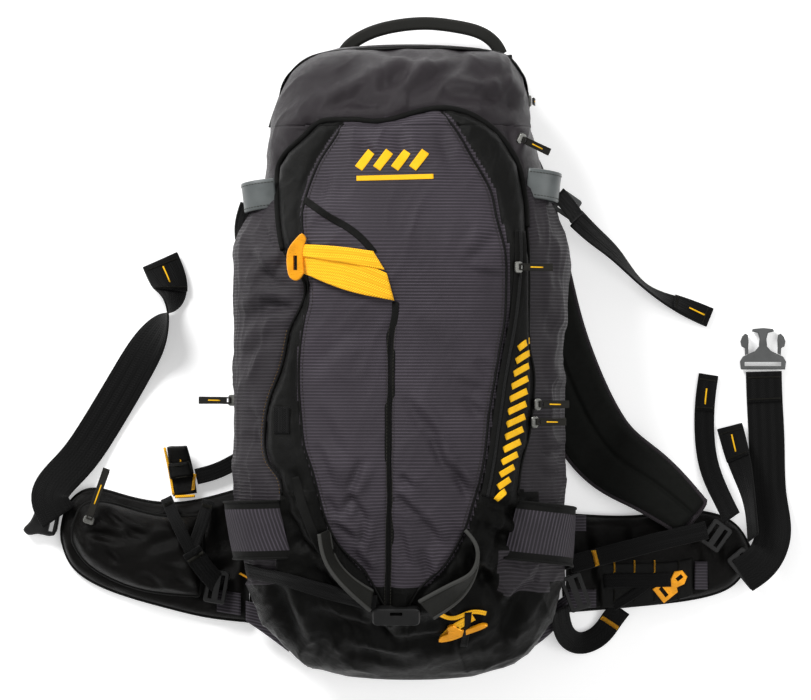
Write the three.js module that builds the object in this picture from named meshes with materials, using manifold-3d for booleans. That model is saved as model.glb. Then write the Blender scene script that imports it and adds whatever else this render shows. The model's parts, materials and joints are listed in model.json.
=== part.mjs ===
// A 35 litre ski touring backpack, lying on its harness with its straps spread out.
// Millimetres. +X is to the right and +Y towards the top of the pack as seen from its front, and +Z points
// from the surface that it lies on to the front of the pack. The origin is on that surface, under the middle.
import * as THREE from "three";
import { mergeVertices } from "three/addons/utils/BufferGeometryUtils.js";
import Module from "manifold-3d";

const wasm = await Module();
wasm.setup();

// ---------------------------------------------------------------- driving dimensions
const GAP = 0.4; // between solids that touch
const PACK_TOP = 298;
const PACK_BOTTOM = -324;
const WALL = 3; // padded fabric wall of the main compartment
const FRONT_ROUND = 2.6; // superellipse power of the front half of a cross-section
const BACK_ROUND = 6; // and of its flatter back half
const BACK_OPEN = 36; // height at which the back panel closes the compartment
const LID_HINGE_Y = 232; // where the lid folds
const POCKET_DEPTH = 10; // how far the front pocket stands off the compartment
const BELT_WIDE = 38; // hip belt webbing
const STRAP_WIDE = 20; // narrow webbing
const WEB_THICK = 1.8;
const PAD_FLOOR = 0;

// Outer profiles of the main compartment along Y, as [y, value].
const leftEdge = profile([
  [-324, -58], [-308, -96], [-285, -123], [-250, -144], [-200, -158], [-110, -166], [90, -166],
  [125, -154], [160, -136], [210, -130], [246, -122], [265, -114], [287, -90], [298, -64],
]);
const rightEdge = profile([
  [-324, 63], [-308, 98], [-285, 124], [-250, 143], [-200, 150], [-110, 150], [-20, 149], [60, 153],
  [95, 152], [125, 143], [160, 130], [195, 123], [236, 113], [262, 108], [287, 91], [298, 66],
]);
const ridge = profile([
  [-324, 82], [-308, 106], [-285, 130], [-250, 156], [-200, 180], [-140, 198], [-100, 204],
  [90, 204], [150, 189], [232, 167], [265, 146], [287, 112], [298, 76],
]);
const waist = profile([[-324, 66], [-285, 86], [-200, 96], [-100, 98], [90, 98], [265, 86], [298, 63]]);
const backEdge = profile([[-324, 50], [-300, 36], [-270, 30], [265, 30], [285, 38], [298, 52]]);

// ---------------------------------------------------------------- geometry helpers

// A smooth curve through [position, value] pairs, which never overshoots between them.
function profile(pairs) {
  const slopes = pairs.slice(1).map(([p, v], i) => (v - pairs[i][1]) / (p - pairs[i][0]));
  const tangents = pairs.map((_, i) => {
    const before = slopes[i - 1] ?? slopes[i];
    const after = slopes[i] ?? slopes[i - 1];
    return before * after <= 0 ? 0 : (2 * before * after) / (before + after);
  });
  return (at) => {
    const last = pairs.length - 2;
    let k = pairs.findIndex(([p], i) => i > 0 && at <= p) - 1;
    if (k < 0) k = at <= pairs[0][0] ? 0 : last;
    const [p0, v0] = pairs[k];
    const [p1, v1] = pairs[k + 1];
    const span = p1 - p0;
    const t = THREE.MathUtils.clamp((at - p0) / span, 0, 1);
    const t2 = t * t;
    const t3 = t2 * t;
    return (
      v0 * (2 * t3 - 3 * t2 + 1) + tangents[k] * span * (t3 - 2 * t2 + t) +
      v1 * (3 * t2 - 2 * t3) + tangents[k + 1] * span * (t3 - t2)
    );
  };
}

function solidOf(geometry) {
  const bare = new THREE.BufferGeometry().setAttribute(
    "position",
    (geometry.index ? geometry.toNonIndexed() : geometry).getAttribute("position"),
  );
  const merged = mergeVertices(bare, 1e-3);
  return new wasm.Manifold(
    new wasm.Mesh({
      numProp: 3,
      vertProperties: merged.attributes.position.array,
      triVerts: new Uint32Array(merged.index.array),
    }),
  );
}

function geometryOf(solid) {
  const mesh = solid.getMesh();
  const geometry = new THREE.BufferGeometry();
  geometry.setAttribute("position", new THREE.BufferAttribute(mesh.vertProperties, 3));
  geometry.setIndex(new THREE.BufferAttribute(mesh.triVerts, 1));
  return geometry;
}

// A closed body through equal rings of points, with flat fans at both ends.
function loft(rings) {
  const count = rings[0].length;
  const corners = rings.flat().flatMap((p) => [p.x, p.y, p.z]);
  const faces = [];
  for (let r = 0; r < rings.length - 1; r++)
    for (let i = 0; i < count; i++) {
      const a = r * count + i;
      const b = r * count + ((i + 1) % count);
      faces.push(a, b, b + count, a, b + count, a + count);
    }
  for (const [ring, flip] of [[0, false], [rings.length - 1, true]]) {
    const middle = corners.length / 3;
    const centre = rings[ring].reduce((sum, p) => sum.add(p), new THREE.Vector3()).divideScalar(count);
    corners.push(centre.x, centre.y, centre.z);
    for (let i = 0; i < count; i++) {
      const a = ring * count + i;
      const b = ring * count + ((i + 1) % count);
      faces.push(...(flip ? [middle, a, b] : [middle, b, a]));
    }
  }
  const geometry = new THREE.BufferGeometry();
  geometry.setAttribute("position", new THREE.Float32BufferAttribute(corners, 3));
  geometry.setIndex(faces);
  return geometry;
}

// Webbing or padding of a flat section, swept along points [x, y, z, roll]. Roll tips it about its path, in degrees.
function ribbon(path, width, thickness, stepsEach = 4) {
  const curve = new THREE.CatmullRomCurve3(path.map(([x, y, z]) => new THREE.Vector3(x, y, z)), false, "centripetal");
  const steps = (path.length - 1) * stepsEach;
  const rings = [];
  for (let i = 0; i <= steps; i++) {
    const t = i / steps;
    const leg = Math.min(Math.floor(t * (path.length - 1)), path.length - 2);
    const share = t * (path.length - 1) - leg;
    const rollDegrees = THREE.MathUtils.lerp(path[leg][3] ?? 0, path[leg + 1][3] ?? 0, share);
    const roll = THREE.MathUtils.degToRad(rollDegrees);
    const along = curve.getTangent(t);
    const side = new THREE.Vector3().crossVectors(along, new THREE.Vector3(0, 0, 1)).normalize();
    const up = new THREE.Vector3().crossVectors(side, along);
    const across = side.clone().multiplyScalar(Math.cos(roll)).addScaledVector(up, Math.sin(roll));
    const normal = new THREE.Vector3().crossVectors(across, along);
    const middle = curve.getPoint(t);
    const corner = (a, n) =>
      middle.clone().addScaledVector(across, (a * width) / 2).addScaledVector(normal, (n * thickness) / 2);
    rings.push([corner(-1, -1), corner(-1, 1), corner(1, 1), corner(1, -1)]);
  }
  return loft(rings);
}

function outline(points, smooth = true) {
  if (!smooth) return new THREE.Shape(points.map(([x, y]) => new THREE.Vector2(x, y)));
  const curve = new THREE.CatmullRomCurve3(points.map(([x, y]) => new THREE.Vector3(x, y, 0)), true, "centripetal");
  return new THREE.Shape(curve.getPoints(points.length * 3).slice(0, -1).map((p) => new THREE.Vector2(p.x, p.y)));
}

function roundedBox(width, length, radius) {
  const [x, y, r] = [width / 2, length / 2, radius];
  const shape = new THREE.Shape();
  shape.absarc(x - r, y - r, r, 0, Math.PI / 2);
  shape.absarc(-x + r, y - r, r, Math.PI / 2, Math.PI);
  shape.absarc(-x + r, -y + r, r, Math.PI, 1.5 * Math.PI);
  shape.absarc(x - r, -y + r, r, 1.5 * Math.PI, 2 * Math.PI);
  return shape;
}

// The same body with square holes right through it, each [x, y, width, length].
function withSlots(geometry, slots) {
  const deep = 100;
  const cuts = slots.map(([x, y, width, length]) =>
    solidOf(new THREE.BoxGeometry(width, length, deep).translate(x, y, 0)));
  return geometryOf(cuts.reduce((solid, cut) => solid.subtract(cut), solidOf(geometry)));
}

// A plate or pad between two heights, its edges rounded by the bevel.
function slab(shape, low, high, bevel = 0) {
  const geometry = new THREE.ExtrudeGeometry(shape, {
    depth: high - low - 2 * bevel,
    bevelEnabled: bevel > 0,
    bevelThickness: bevel,
    bevelSize: bevel,
    bevelOffset: -bevel,
    bevelSegments: bevel > 2 ? 2 : 1,
    curveSegments: 2,
  });
  return geometry.translate(0, 0, low + bevel);
}

// ---------------------------------------------------------------- the main compartment's outer form

// One cross-section, grown outwards by `grow` at the sides and `lift` at the front.
function section(y, grow, lift, points = 36) {
  const left = leftEdge(y) - grow;
  const right = rightEdge(y) + grow;
  const [middle, half] = [(left + right) / 2, (right - left) / 2];
  const centre = waist(y);
  const ring = [];
  for (let i = 0; i < points; i++) {
    const angle = (2 * Math.PI * i) / points;
    const [c, s] = [Math.cos(angle), Math.sin(angle)];
    const power = 2 / (s >= 0 ? FRONT_ROUND : BACK_ROUND);
    const reach = s >= 0 ? ridge(y) + lift - centre : centre - backEdge(y) + grow;
    ring.push(
      new THREE.Vector3(
        middle + half * Math.sign(c) * Math.abs(c) ** power, y,
        centre + reach * Math.sign(s) * Math.abs(s) ** power,
      ),
    );
  }
  return ring;
}

const STATIONS = [-324, -316, -300, -280, -250, -215, -175, -135, -100, -40, 30, 90, 120, 145, 175, 215,
  245, 268, 284, 293, 298];

function compartment(grow, lift) {
  const shrink = (y) => THREE.MathUtils.clamp(y, PACK_BOTTOM - grow, PACK_TOP + grow);
  const ends = grow < 0 ? STATIONS.map(shrink) : STATIONS;
  const stations = [...new Set(ends)];
  return solidOf(loft(stations.map((y) => section(y, grow, lift)).reverse()));
}

// The height of the front of the compartment, or of its pocket, over a point.
function frontHeight(x, y, raised = false) {
  const grow = raised ? 8 : 0;
  const left = leftEdge(y) - grow;
  const right = rightEdge(y) + grow;
  const across = Math.min(Math.abs(x - (left + right) / 2) / ((right - left) / 2), 1);
  const rise = ridge(y) + (raised ? POCKET_DEPTH : 0) - waist(y);
  return waist(y) + rise * (1 - across ** FRONT_ROUND) ** (1 / FRONT_ROUND);
}

// A band of fabric that lies on the compartment, cut to a box of [low, high] ranges.
function wrapped(x, y, z, thickness) {
  const middle = (range) => (range[0] + range[1]) / 2;
  const box = new THREE.BoxGeometry(x[1] - x[0], y[1] - y[0], z[1] - z[0])
    .translate(middle(x), middle(y), middle(z));
  const under = compartment(1, 1);
  return geometryOf(compartment(1 + thickness, 1 + thickness).intersect(solidOf(box)).subtract(under));
}

// Points [x, y, lift, roll] that stand `lift` above the front.
const onFront = (path, raised) => path.map(([x, y, lift, roll]) => [x, y, frontHeight(x, y, raised) + lift, roll]);

// ---------------------------------------------------------------- materials
const material = (color, roughness, metalness = 0) =>
  new THREE.MeshStandardMaterial({ color, roughness, metalness });
const STRIPED_NYLON = material(0x3a363b, 0.75);
const PLAIN_NYLON = material(0x2c292c, 0.7);
const BLACK_NYLON = material(0x121211, 0.75);
const MESH_FOAM = material(0x151815, 0.9);
const WEBBING = material(0x0f0f0f, 0.8);
const GREY_WEBBING = material(0x3c3b38, 0.8);
const YELLOW_WEBBING = material(0xf2a516, 0.65);
const BLACK_PLASTIC = material(0x141414, 0.4);
const GREY_PLASTIC = material(0x5f6565, 0.45);
const YELLOW_METAL = material(0xd98a08, 0.35, 0.8);
const SILVER_METAL = material(0x9a9a98, 0.3, 0.9);
const ALUMINIUM = material(0xb0b2b5, 0.4, 0.9);
const HDPE = material(0x2b2d30, 0.5);

const pack = new THREE.Group();

function add(name, geometry, finish, parent = pack) {
  const mesh = new THREE.Mesh(geometry, finish);
  mesh.name = name;
  parent.add(mesh);
  return mesh;
}

function place(x, y, z, turnDegrees = 0, tiltDegrees = 0) {
  const group = new THREE.Group();
  group.position.set(x, y, z);
  group.rotation.set(
    0,
    THREE.MathUtils.degToRad(tiltDegrees),
    THREE.MathUtils.degToRad(turnDegrees),
    "ZYX",
  );
  pack.add(group);
  return group;
}

// ---------------------------------------------------------------- main compartment, lid and front pocket
function addCompartment() {
  const wide = 400;
  const block = (yLow, yHigh, zLow, zHigh) =>
    solidOf(new THREE.BoxGeometry(wide, yHigh - yLow, zHigh - zLow)
      .translate(0, (yLow + yHigh) / 2, (zLow + zHigh) / 2));
  const outer = compartment(0, 0);
  const shell = outer.subtract(compartment(-WALL, -WALL)).subtract(block(-wide, wide, -10, BACK_OPEN));
  const lidHeight = waist(LID_HINGE_Y);
  const cutout = block(LID_HINGE_Y - GAP / 2, wide, lidHeight - GAP / 2, wide);
  const cover = block(LID_HINGE_Y + GAP / 2, wide, lidHeight + GAP / 2, wide);
  add("bag_shell", geometryOf(shell.subtract(cutout)), PLAIN_NYLON);
  add("lid", geometryOf(shell.intersect(cover)), PLAIN_NYLON);

  const POCKET_OUTLINE = [
    [-111, -170], [-125, -88], [-115, -40], [-103, 23], [-113, 85], [-120, 150], [-108, 183], [-86, 206],
    [-58, 216], [-7, 214], [31, 222], [66, 217], [95, 193], [110, 152], [116, 85], [116, -50], [105, -127],
    [82, -203], [45, -252], [-7, -266], [-58, -240], [-96, -203],
  ];
  const column = solidOf(slab(outline(POCKET_OUTLINE), 110, 260));
  const pocket = compartment(8, POCKET_DEPTH).intersect(column).subtract(compartment(1, 0.6));
  add("front_pocket", geometryOf(pocket), STRIPED_NYLON);
}

// ---------------------------------------------------------------- back: frame, pads, shoulder straps
function addBack() {
  const BACK_SHARE = 0.9; // of the compartment's width
  const steps = [-312, -285, -250, -200, -100, 90, 160, 232, 270, 288];
  const side = (edge) => steps.map((y) => [edge(y) * BACK_SHARE, y]);
  const panel = [...side(rightEdge), ...side(leftEdge).reverse()];
  add("back_panel", slab(outline(panel, false), 30, BACK_OPEN - GAP, 1), BLACK_NYLON);

  const frame = place(-3, -12, 0);
  add("frame_sheet", slab(roundedBox(200, 470, 40), 37, 38.6), HDPE, frame);
  add("frame_stay", slab(roundedBox(25, 450, 6), 39, 43), ALUMINIUM, frame);

  for (const [name, x] of [["back_pad_left", -60], ["back_pad_right", 55]]) {
    const pad = place(x, 45, 0);
    add(name, slab(roundedBox(74, 290, 24), 18.6, 30 - GAP, 3), MESH_FOAM, pad);
  }
  const LUMBAR = [
    [-143, -148], [-100, -132], [0, -126], [98, -132], [141, -148], [145, -205], [141, -252], [90, -264],
    [0, -268], [-92, -264], [-143, -252], [-147, -205],
  ];
  add("lumbar_pad", slab(outline(LUMBAR), PAD_FLOOR, 30 - GAP, 4), MESH_FOAM);

  const STRAP_THICK = 13;
  add("shoulder_strap_right", ribbon([
    [48, 255, 21.4], [66, 224, 14], [98, 180, 7.2], [118, 120, 7.2], [133, 50, 7.2], [150, -12, 7.2],
    [194, -98, 12], [236, -130, 30], [279, -167, 32],
  ], 62, STRAP_THICK, 3), MESH_FOAM);
  add("shoulder_strap_left", ribbon([
    [-50, 255, 21.4], [-68, 224, 14], [-94, 180, 7.2], [-108, 120, 7.2], [-116, 50, 7.2], [-122, -30, 7.2],
    [-128, -110, 7.2],
  ], 62, STRAP_THICK, 3), MESH_FOAM);

  // The chest strap joins the two shoulder straps on their outer faces.
  const chest = place(4, 112, 0);
  add("sternum_webbing", slab(roundedBox(126, STRAP_WIDE, 3), 1.2, 3), WEBBING, chest);
  const buckle = slab(roundedBox(52, 30, 6), 3.4, 11, 1);
  add("sternum_buckle", withSlots(buckle, [[-19, 0, 4, 21], [19, 0, 4, 21]]), BLACK_PLASTIC, chest);
}

function addHandle() {
  add("haul_handle", ribbon([
    [-64, 293, 24, 0], [-57, 302, 26, 0], [-36, 314, 30, 0], [-8, 321, 31, 0], [20, 323, 31, 0],
    [48, 320, 31, 0], [74, 313, 30, 0], [88, 302, 26, 0], [93, 293, 24, 0],
  ], 13, 5, 3), BLACK_NYLON);
}

// ---------------------------------------------------------------- hip belt
const WING_TOP = 20;

function addHipBelt() {
  const LEFT_WING = [
    [-160, -140], [-200, -150], [-240, -155], [-285, -147], [-318, -141], [-338, -156], [-345, -185],
    [-338, -212], [-315, -232], [-278, -247], [-235, -259], [-200, -267], [-160, -272], [-158, -206],
  ];
  const RIGHT_WING = [
    [160, -166], [230, -168], [285, -163], [325, -175], [340, -195], [341, -215], [328, -232], [300, -246],
    [240, -255], [160, -262], [158, -214],
  ];
  const LEFT_POCKET = [
    [-207, -166], [-250, -166], [-296, -154], [-322, -154], [-333, -185], [-312, -218], [-262, -240],
    [-207, -246],
  ];
  add("belt_wing_left", slab(outline(LEFT_WING), PAD_FLOOR, WING_TOP, 4), BLACK_NYLON);
  add("belt_wing_right", slab(outline(RIGHT_WING), PAD_FLOOR, WING_TOP, 4), BLACK_NYLON);
  add("belt_pocket", slab(outline(LEFT_POCKET), WING_TOP + GAP, 46, 9), BLACK_NYLON);

  add("belt_webbing_left", ribbon([
    [-347, -168, 24, 0], [-356, -146, 22, 8], [-334, -116, 9, 8], [-309, -81, 4, 0], [-282, -36, 4.6, 5],
    [-258, 4, 12, 25], [-240, 33, 21, 80], [-236, 56, 16, 140], [-247, 88, 5, 180],
  ], BELT_WIDE, WEB_THICK), WEBBING);
  add("belt_webbing_right", ribbon([
    [333, -226, 32.4, 0], [352, -211, 32.4, 6], [364, -184, 20, 8], [361, -148, 4.4, 0], [359, -95, 2.2, 0],
    [357, -52, 2.2, 0], [356, -23, 4, 0],
  ], 36, WEB_THICK), WEBBING);
}

// The wide side-release buckle: the socket on the left wing, and the plug on the right webbing.
function addBeltBuckle() {
  const socket = place(-362, -164, 0, -13);
  const body = slab(outline([
    [14, -20], [15, 0], [14, 20], [-2, 22], [-11, 25], [-17, 21], [-12, 11], [-10, 0], [-12, -11], [-17, -21],
    [-11, -25], [-2, -22],
  ]), 0.6, 13.6, 1.5);
  const mouth = new THREE.BoxGeometry(34, 30, 7).translate(-12, 0, 7);
  const bar = new THREE.BoxGeometry(4.4, 34, 20).translate(9.4, 0, 7);
  const cut = solidOf(body).subtract(solidOf(mouth)).subtract(solidOf(bar));
  add("buckle_socket", geometryOf(cut), BLACK_PLASTIC, socket);

  const plug = place(355, 0, 0);
  const frame = new THREE.Shape([
    [-22, -21], [22, -21], [23, -13], [20, -8], [8, -2.5], [4, 2], [3.4, 10], [5, 15.5], [11, 17], [10, 19.5],
    [0, 20.5], [-10, 19.5], [-11, 17], [-5, 15.5], [-3.4, 10], [-4, 2], [-8, -2.5], [-20, -8], [-23, -13],
  ].map(([x, y]) => new THREE.Vector2(x, y)));
  add("buckle_plug", withSlots(slab(frame, 1.2, 9.2, 0.8), [[0, -15.5, 37, 4]]), GREY_PLASTIC, plug);
  for (const [name, hand] of [["buckle_prong_left", -1], ["buckle_prong_right", 1]]) {
    const prong = [
      [14.6, -5], [17.8, -6.6], [18.2, 0.5], [21.4, 2], [22.4, 7], [20.6, 12], [17.6, 15], [15.2, 13.5],
      [14.4, 8], [14.8, 1],
    ].map(([x, y]) => [hand * x, y]);
    if (hand > 0) prong.reverse();
    add(name, slab(outline(prong, false), 2, 8.4, 0.6), GREY_PLASTIC, plug);
  }
}

// A ladder lock: a curved plate with two slots for webbing, lying across its strap.
function addLadderLock(name, wide, finish, parent) {
  const long = 22;
  const plate = slab(roundedBox(long, wide + 8, 3), 0, 5, 0.8);
  add(name, withSlots(plate, [[-5, 0, 4, wide], [5, 0, 4, wide]]), finish, parent);
}

// ---------------------------------------------------------------- lower ends and tails of the straps
function addStraps() {
  add("shoulder_webbing_right", ribbon([
    [161, -214, 46], [200, -204, 44], [250, -191, 44], [297, -180, 42],
  ], 18, WEB_THICK), WEBBING);
  addLadderLock("shoulder_lock_right", STRAP_WIDE, BLACK_PLASTIC, place(307, -186, 27, -35));
  add("shoulder_tail_right", ribbon([
    [322, -168, 33, 20], [312, -146, 18, 20], [300, -112, 5, 0], [297, -60, 2.4, 0], [301, -26, 2.4, 0],
  ], STRAP_WIDE, WEB_THICK), WEBBING);
  add("stabilizer_tail_right", ribbon([
    [343, -188, 38, 70], [340, -150, 24, 65], [331, -112, 12, 30], [322, -78, 2.6, 0],
  ], 26, WEB_THICK), WEBBING);
  addLadderLock("belt_lock_right", BELT_WIDE - 6, BLACK_PLASTIC, place(338, -219, 25, 40));

  add("shoulder_webbing_left", ribbon([[-170, -112, 8], [-190, -122, 9], [-211, -128, 9]], 16, WEB_THICK), WEBBING);
  add("shoulder_tail_left", ribbon([
    [-222, -146, 8, 0], [-226, -120, 8, 12], [-230, -98, 12, 35],
  ], 24, 5), WEBBING);

  addLadderLock("stabilizer_lock_left", 25, BLACK_PLASTIC, place(-190, -237, 26, -10));
  addLadderLock("stabilizer_lock_right", 28, BLACK_PLASTIC, place(166, -241, 60, 20));
  add("stabilizer_loop_right", ribbon([
    [151, -258, 44, 35], [157, -284, 26, 20], [174, -294, 8, 0], [190, -286, 4, 0], [202, -278, 4, 0],
  ], 22, WEB_THICK), WEBBING);
}

// ---------------------------------------------------------------- straps and loops on the body of the pack
function addCarrySystem() {
  const SLEEVE = { y: [-202, -148], z: [92, 168] };
  add("side_sleeve_left", wrapped([-200, -60], SLEEVE.y, SLEEVE.z, 2.4), STRIPED_NYLON);
  add("side_sleeve_right", wrapped([60, 200], SLEEVE.y, SLEEVE.z, 2.4), STRIPED_NYLON);

  add("ski_loop_left", ribbon(onFront([
    [-80, -176, 13, 65], [-74, -203, 14, 65], [-55, -227, 14, 60], [-35, -243, 11, 45],
  ], true), 20, 2), GREY_WEBBING);
  add("ski_loop_right", ribbon(onFront([
    [57, -176, 16, 90], [66, -190, 16, 90], [63, -214, 16, 80], [45, -234, 13, 40], [18, -252, 10, 20],
  ], true), 20, 2), GREY_WEBBING);
  const buckle = place(-11, -258, frontHeight(-11, -258, true) + 8);
  buckle.rotation.x = THREE.MathUtils.degToRad(34);
  const clip = slab(roundedBox(46, 20, 5), -4, 4, 1.2);
  add("ski_loop_buckle", withSlots(clip, [[0, 4.5, 12, 4]]), BLACK_PLASTIC, buckle);

  add("ski_sling", ribbon(onFront([
    [-19, 66, 4], [-45, 72, 4], [-72, 79, 5], [-96, 84, 6],
  ], true), 34, 3, 3), YELLOW_WEBBING);
  const hook = place(-99, 88, frontHeight(-99, 88, true) + 9, 0, -14);
  const hookShape = outline([
    [-1, -17], [-7, -23], [-14, -20], [-17, -8], [-16, 6], [-9, 16], [-2, 22], [2, 17], [-1, 8], [-1, -5],
  ]);
  add("sling_hook", withSlots(slab(hookShape, -2, 2, 0.7), [[-8.5, -6, 4, 14]]), YELLOW_METAL, hook);

  // The lower hook and its swivel lie on the slope of the base.
  const SLOPE = 42;
  const lower = place(54, -276, frontHeight(54, -276) + 9, 18);
  lower.rotation.order = "XYZ";
  lower.rotation.set(THREE.MathUtils.degToRad(SLOPE), 0, THREE.MathUtils.degToRad(18));
  const blade = outline([
    [-26, -4], [-14, -6], [2, -3], [20, 0], [26, 3], [22, 6], [8, 4], [0, 5], [-6, 13], [-12, 12], [-14, 4],
    [-22, 2],
  ]);
  add("lower_hook", slab(blade, -1.8, 1.8, 0.6), YELLOW_METAL, lower);

  const gear = place(265, -234, WING_TOP + 3.2, 39);
  const frame = new THREE.Shape([
    [-20, -9], [-2, -9], [0, -5], [8, -7], [15, -3], [15, 5], [8, 9], [1, 6], [-2, 9], [-20, 9],
  ].map(([x, y]) => new THREE.Vector2(x, y)));
  const frameSlots = [[-13, 0, 4, 11], [8, 1, 7, 4]];
  add("gear_buckle", withSlots(slab(frame, -1.6, 1.6, 0.6), frameSlots), YELLOW_METAL, gear);
}

function addCompression() {
  const TAB = { y: [149, 176], z: [92, 152] };
  add("compression_tab_right", wrapped([60, 200], TAB.y, TAB.z, 3), GREY_PLASTIC);
  add("compression_tab_left", wrapped([-200, -60], TAB.y, TAB.z, 3), GREY_PLASTIC);
  addLadderLock("compression_lock_right", STRAP_WIDE - 6, GREY_PLASTIC, place(157, 141, 84, -35));
  add("compression_tail_right", ribbon([
    [166, 128, 79, 10], [184, 112, 58, 25], [208, 92, 32, 50], [237, 62, 16, 75], [270, 44, 8, 40],
    [302, 31, 2.4, 0],
  ], STRAP_WIDE, WEB_THICK), WEBBING);
}

// ---------------------------------------------------------------- zip sliders and their pulls
// Each lies in its own frame: the zip runs along Y, the pull points along X, and Z is away from the fabric.
const ZIPS = [
  { name: "front_zip", at: [106, 78, frontHeight(106, 78, true) + 2], turn: 0, tilt: 8 },
  { name: "side_zip_upper", at: [124, -54, frontHeight(124, -54) + 4], turn: 0, tilt: 28 },
  { name: "side_zip_lower", at: [121, -71, frontHeight(121, -71) + 4], turn: 0, tilt: 28 },
  { name: "lid_zip_upper", at: [117, 243, 91], turn: 0, tilt: 85 },
  { name: "lid_zip_lower", at: [109, 204, frontHeight(109, 204) + 5.6], turn: -24, tilt: 28 },
  { name: "belt_zip", at: [-315.6, -170.2, 46.5], turn: 71, tilt: 4 },
  { name: "left_zip", at: [-172, -51, 76], turn: 180, tilt: 12 },
];
const PULL_LENGTH = { lid_zip_upper: 24, belt_zip: 54 };

function addZips() {
  for (const { name, at, turn, tilt } of ZIPS) {
    const frame = place(...at, turn, tilt);
    add(`${name}_slider`, slab(roundedBox(7.5, 11, 2.4), 0, 4.6, 0.7), SILVER_METAL, frame);
    const long = PULL_LENGTH[name] ?? 33;
    const tab = new THREE.Shape([
      [0.6, -3], [6, -3.4], [long, -3.6], [long, 3.6], [6, 3.4], [0.6, 3],
    ].map(([x, y]) => new THREE.Vector2(x, y)));
    add(`${name}_pull`, withSlots(slab(tab, 5.2, 7, 0.3), [[3.4, 0, 2.6, 3.6]]), GREY_WEBBING, frame);
  }
}

addCompartment();
addBack();
addHandle();
addHipBelt();
addBeltBuckle();
addStraps();
addCarrySystem();
addCompression();
addZips();

export default pack;
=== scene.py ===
import json
import math

import bmesh
import bpy
import numpy as np
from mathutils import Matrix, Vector
from mathutils.bvhtree import BVHTree

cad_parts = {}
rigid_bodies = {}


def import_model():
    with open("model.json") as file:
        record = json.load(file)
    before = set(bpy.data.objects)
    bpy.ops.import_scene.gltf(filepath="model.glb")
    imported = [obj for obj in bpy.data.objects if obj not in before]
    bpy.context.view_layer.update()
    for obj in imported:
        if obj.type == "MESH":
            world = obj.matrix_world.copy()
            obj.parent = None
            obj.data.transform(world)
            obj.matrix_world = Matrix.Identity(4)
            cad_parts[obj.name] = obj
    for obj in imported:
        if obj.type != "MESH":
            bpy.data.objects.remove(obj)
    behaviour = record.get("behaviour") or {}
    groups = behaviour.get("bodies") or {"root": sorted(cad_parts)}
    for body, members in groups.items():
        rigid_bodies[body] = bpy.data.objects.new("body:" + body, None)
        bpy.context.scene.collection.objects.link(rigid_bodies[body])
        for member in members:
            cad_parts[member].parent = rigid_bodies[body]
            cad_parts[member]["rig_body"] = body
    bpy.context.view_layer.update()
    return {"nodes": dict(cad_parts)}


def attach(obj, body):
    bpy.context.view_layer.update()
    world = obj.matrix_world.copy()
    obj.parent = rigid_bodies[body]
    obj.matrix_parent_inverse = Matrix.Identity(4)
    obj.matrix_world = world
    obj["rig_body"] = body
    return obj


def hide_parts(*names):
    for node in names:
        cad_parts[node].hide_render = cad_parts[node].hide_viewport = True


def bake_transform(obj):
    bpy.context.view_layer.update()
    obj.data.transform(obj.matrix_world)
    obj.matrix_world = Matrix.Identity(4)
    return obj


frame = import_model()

# Lengths are millimetres until a mesh is made. +X is right, +Y is the top of the pack, +Z is its front.
# "Plan" points are where something is seen from the camera, measured on the surface the pack lies on.
MM = 0.001
EYE = np.array([-2.0, -1.5, 5000.0])
SENSOR = 36.0
SEEN_WIDTH = 811.0
UP = np.array([0.0, 0.0, 1.0])
FABRIC_THICKNESS = 1.6
SMOOTHING_ROUNDS = 10

# ---------------------------------------------------------------- camera, floor and light


def add_camera():
    data = bpy.data.cameras.new("camera")
    data.sensor_width = SENSOR
    data.lens = SENSOR * EYE[2] / SEEN_WIDTH
    camera = bpy.data.objects.new("camera", data)
    camera.location = Vector(EYE * MM)
    bpy.context.collection.objects.link(camera)
    bpy.context.scene.camera = camera


def add_light(name, place, size, watts, turn):
    data = bpy.data.lights.new(name, "AREA")
    data.shape = "DISK"
    data.size = size
    data.energy = watts
    light = bpy.data.objects.new(name, data)
    light.location = place
    light.rotation_euler = turn
    bpy.context.collection.objects.link(light)


def add_surroundings():
    scene = bpy.context.scene
    scene.view_settings.view_transform = "Standard"
    scene.view_settings.look = "None"
    world = bpy.data.worlds.new("studio")
    world.use_nodes = True
    world.node_tree.nodes["Background"].inputs["Color"].default_value = (1, 1, 1, 1)
    world.node_tree.nodes["Background"].inputs["Strength"].default_value = 0.48
    scene.world = world
    add_light("key", (-1.5, 1.9, 1.9), 1.2, 92, (math.radians(-45), math.radians(-30), 0))
    add_light("fill", (1.5, -0.6, 2.4), 1.8, 28, (math.radians(14), math.radians(32), 0))
    mesh = bpy.data.meshes.new("floor")
    reach = 6.0
    mesh.from_pydata(
        [(-reach, -reach, 0), (reach, -reach, 0), (reach, reach, 0), (-reach, reach, 0)], [],
        [(0, 1, 2, 3)]
    )
    floor = bpy.data.objects.new("floor", mesh)
    floor.location.z = -0.0006
    bpy.context.collection.objects.link(floor)
    paper = Shade(
        "floor_paper", (0.93, 0.93, 0.93), 0.9, Emission_Color=(1, 1, 1, 1), Emission_Strength=0.34
    )
    mesh.materials.append(paper.mat)


# ---------------------------------------------------------------- materials


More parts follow.
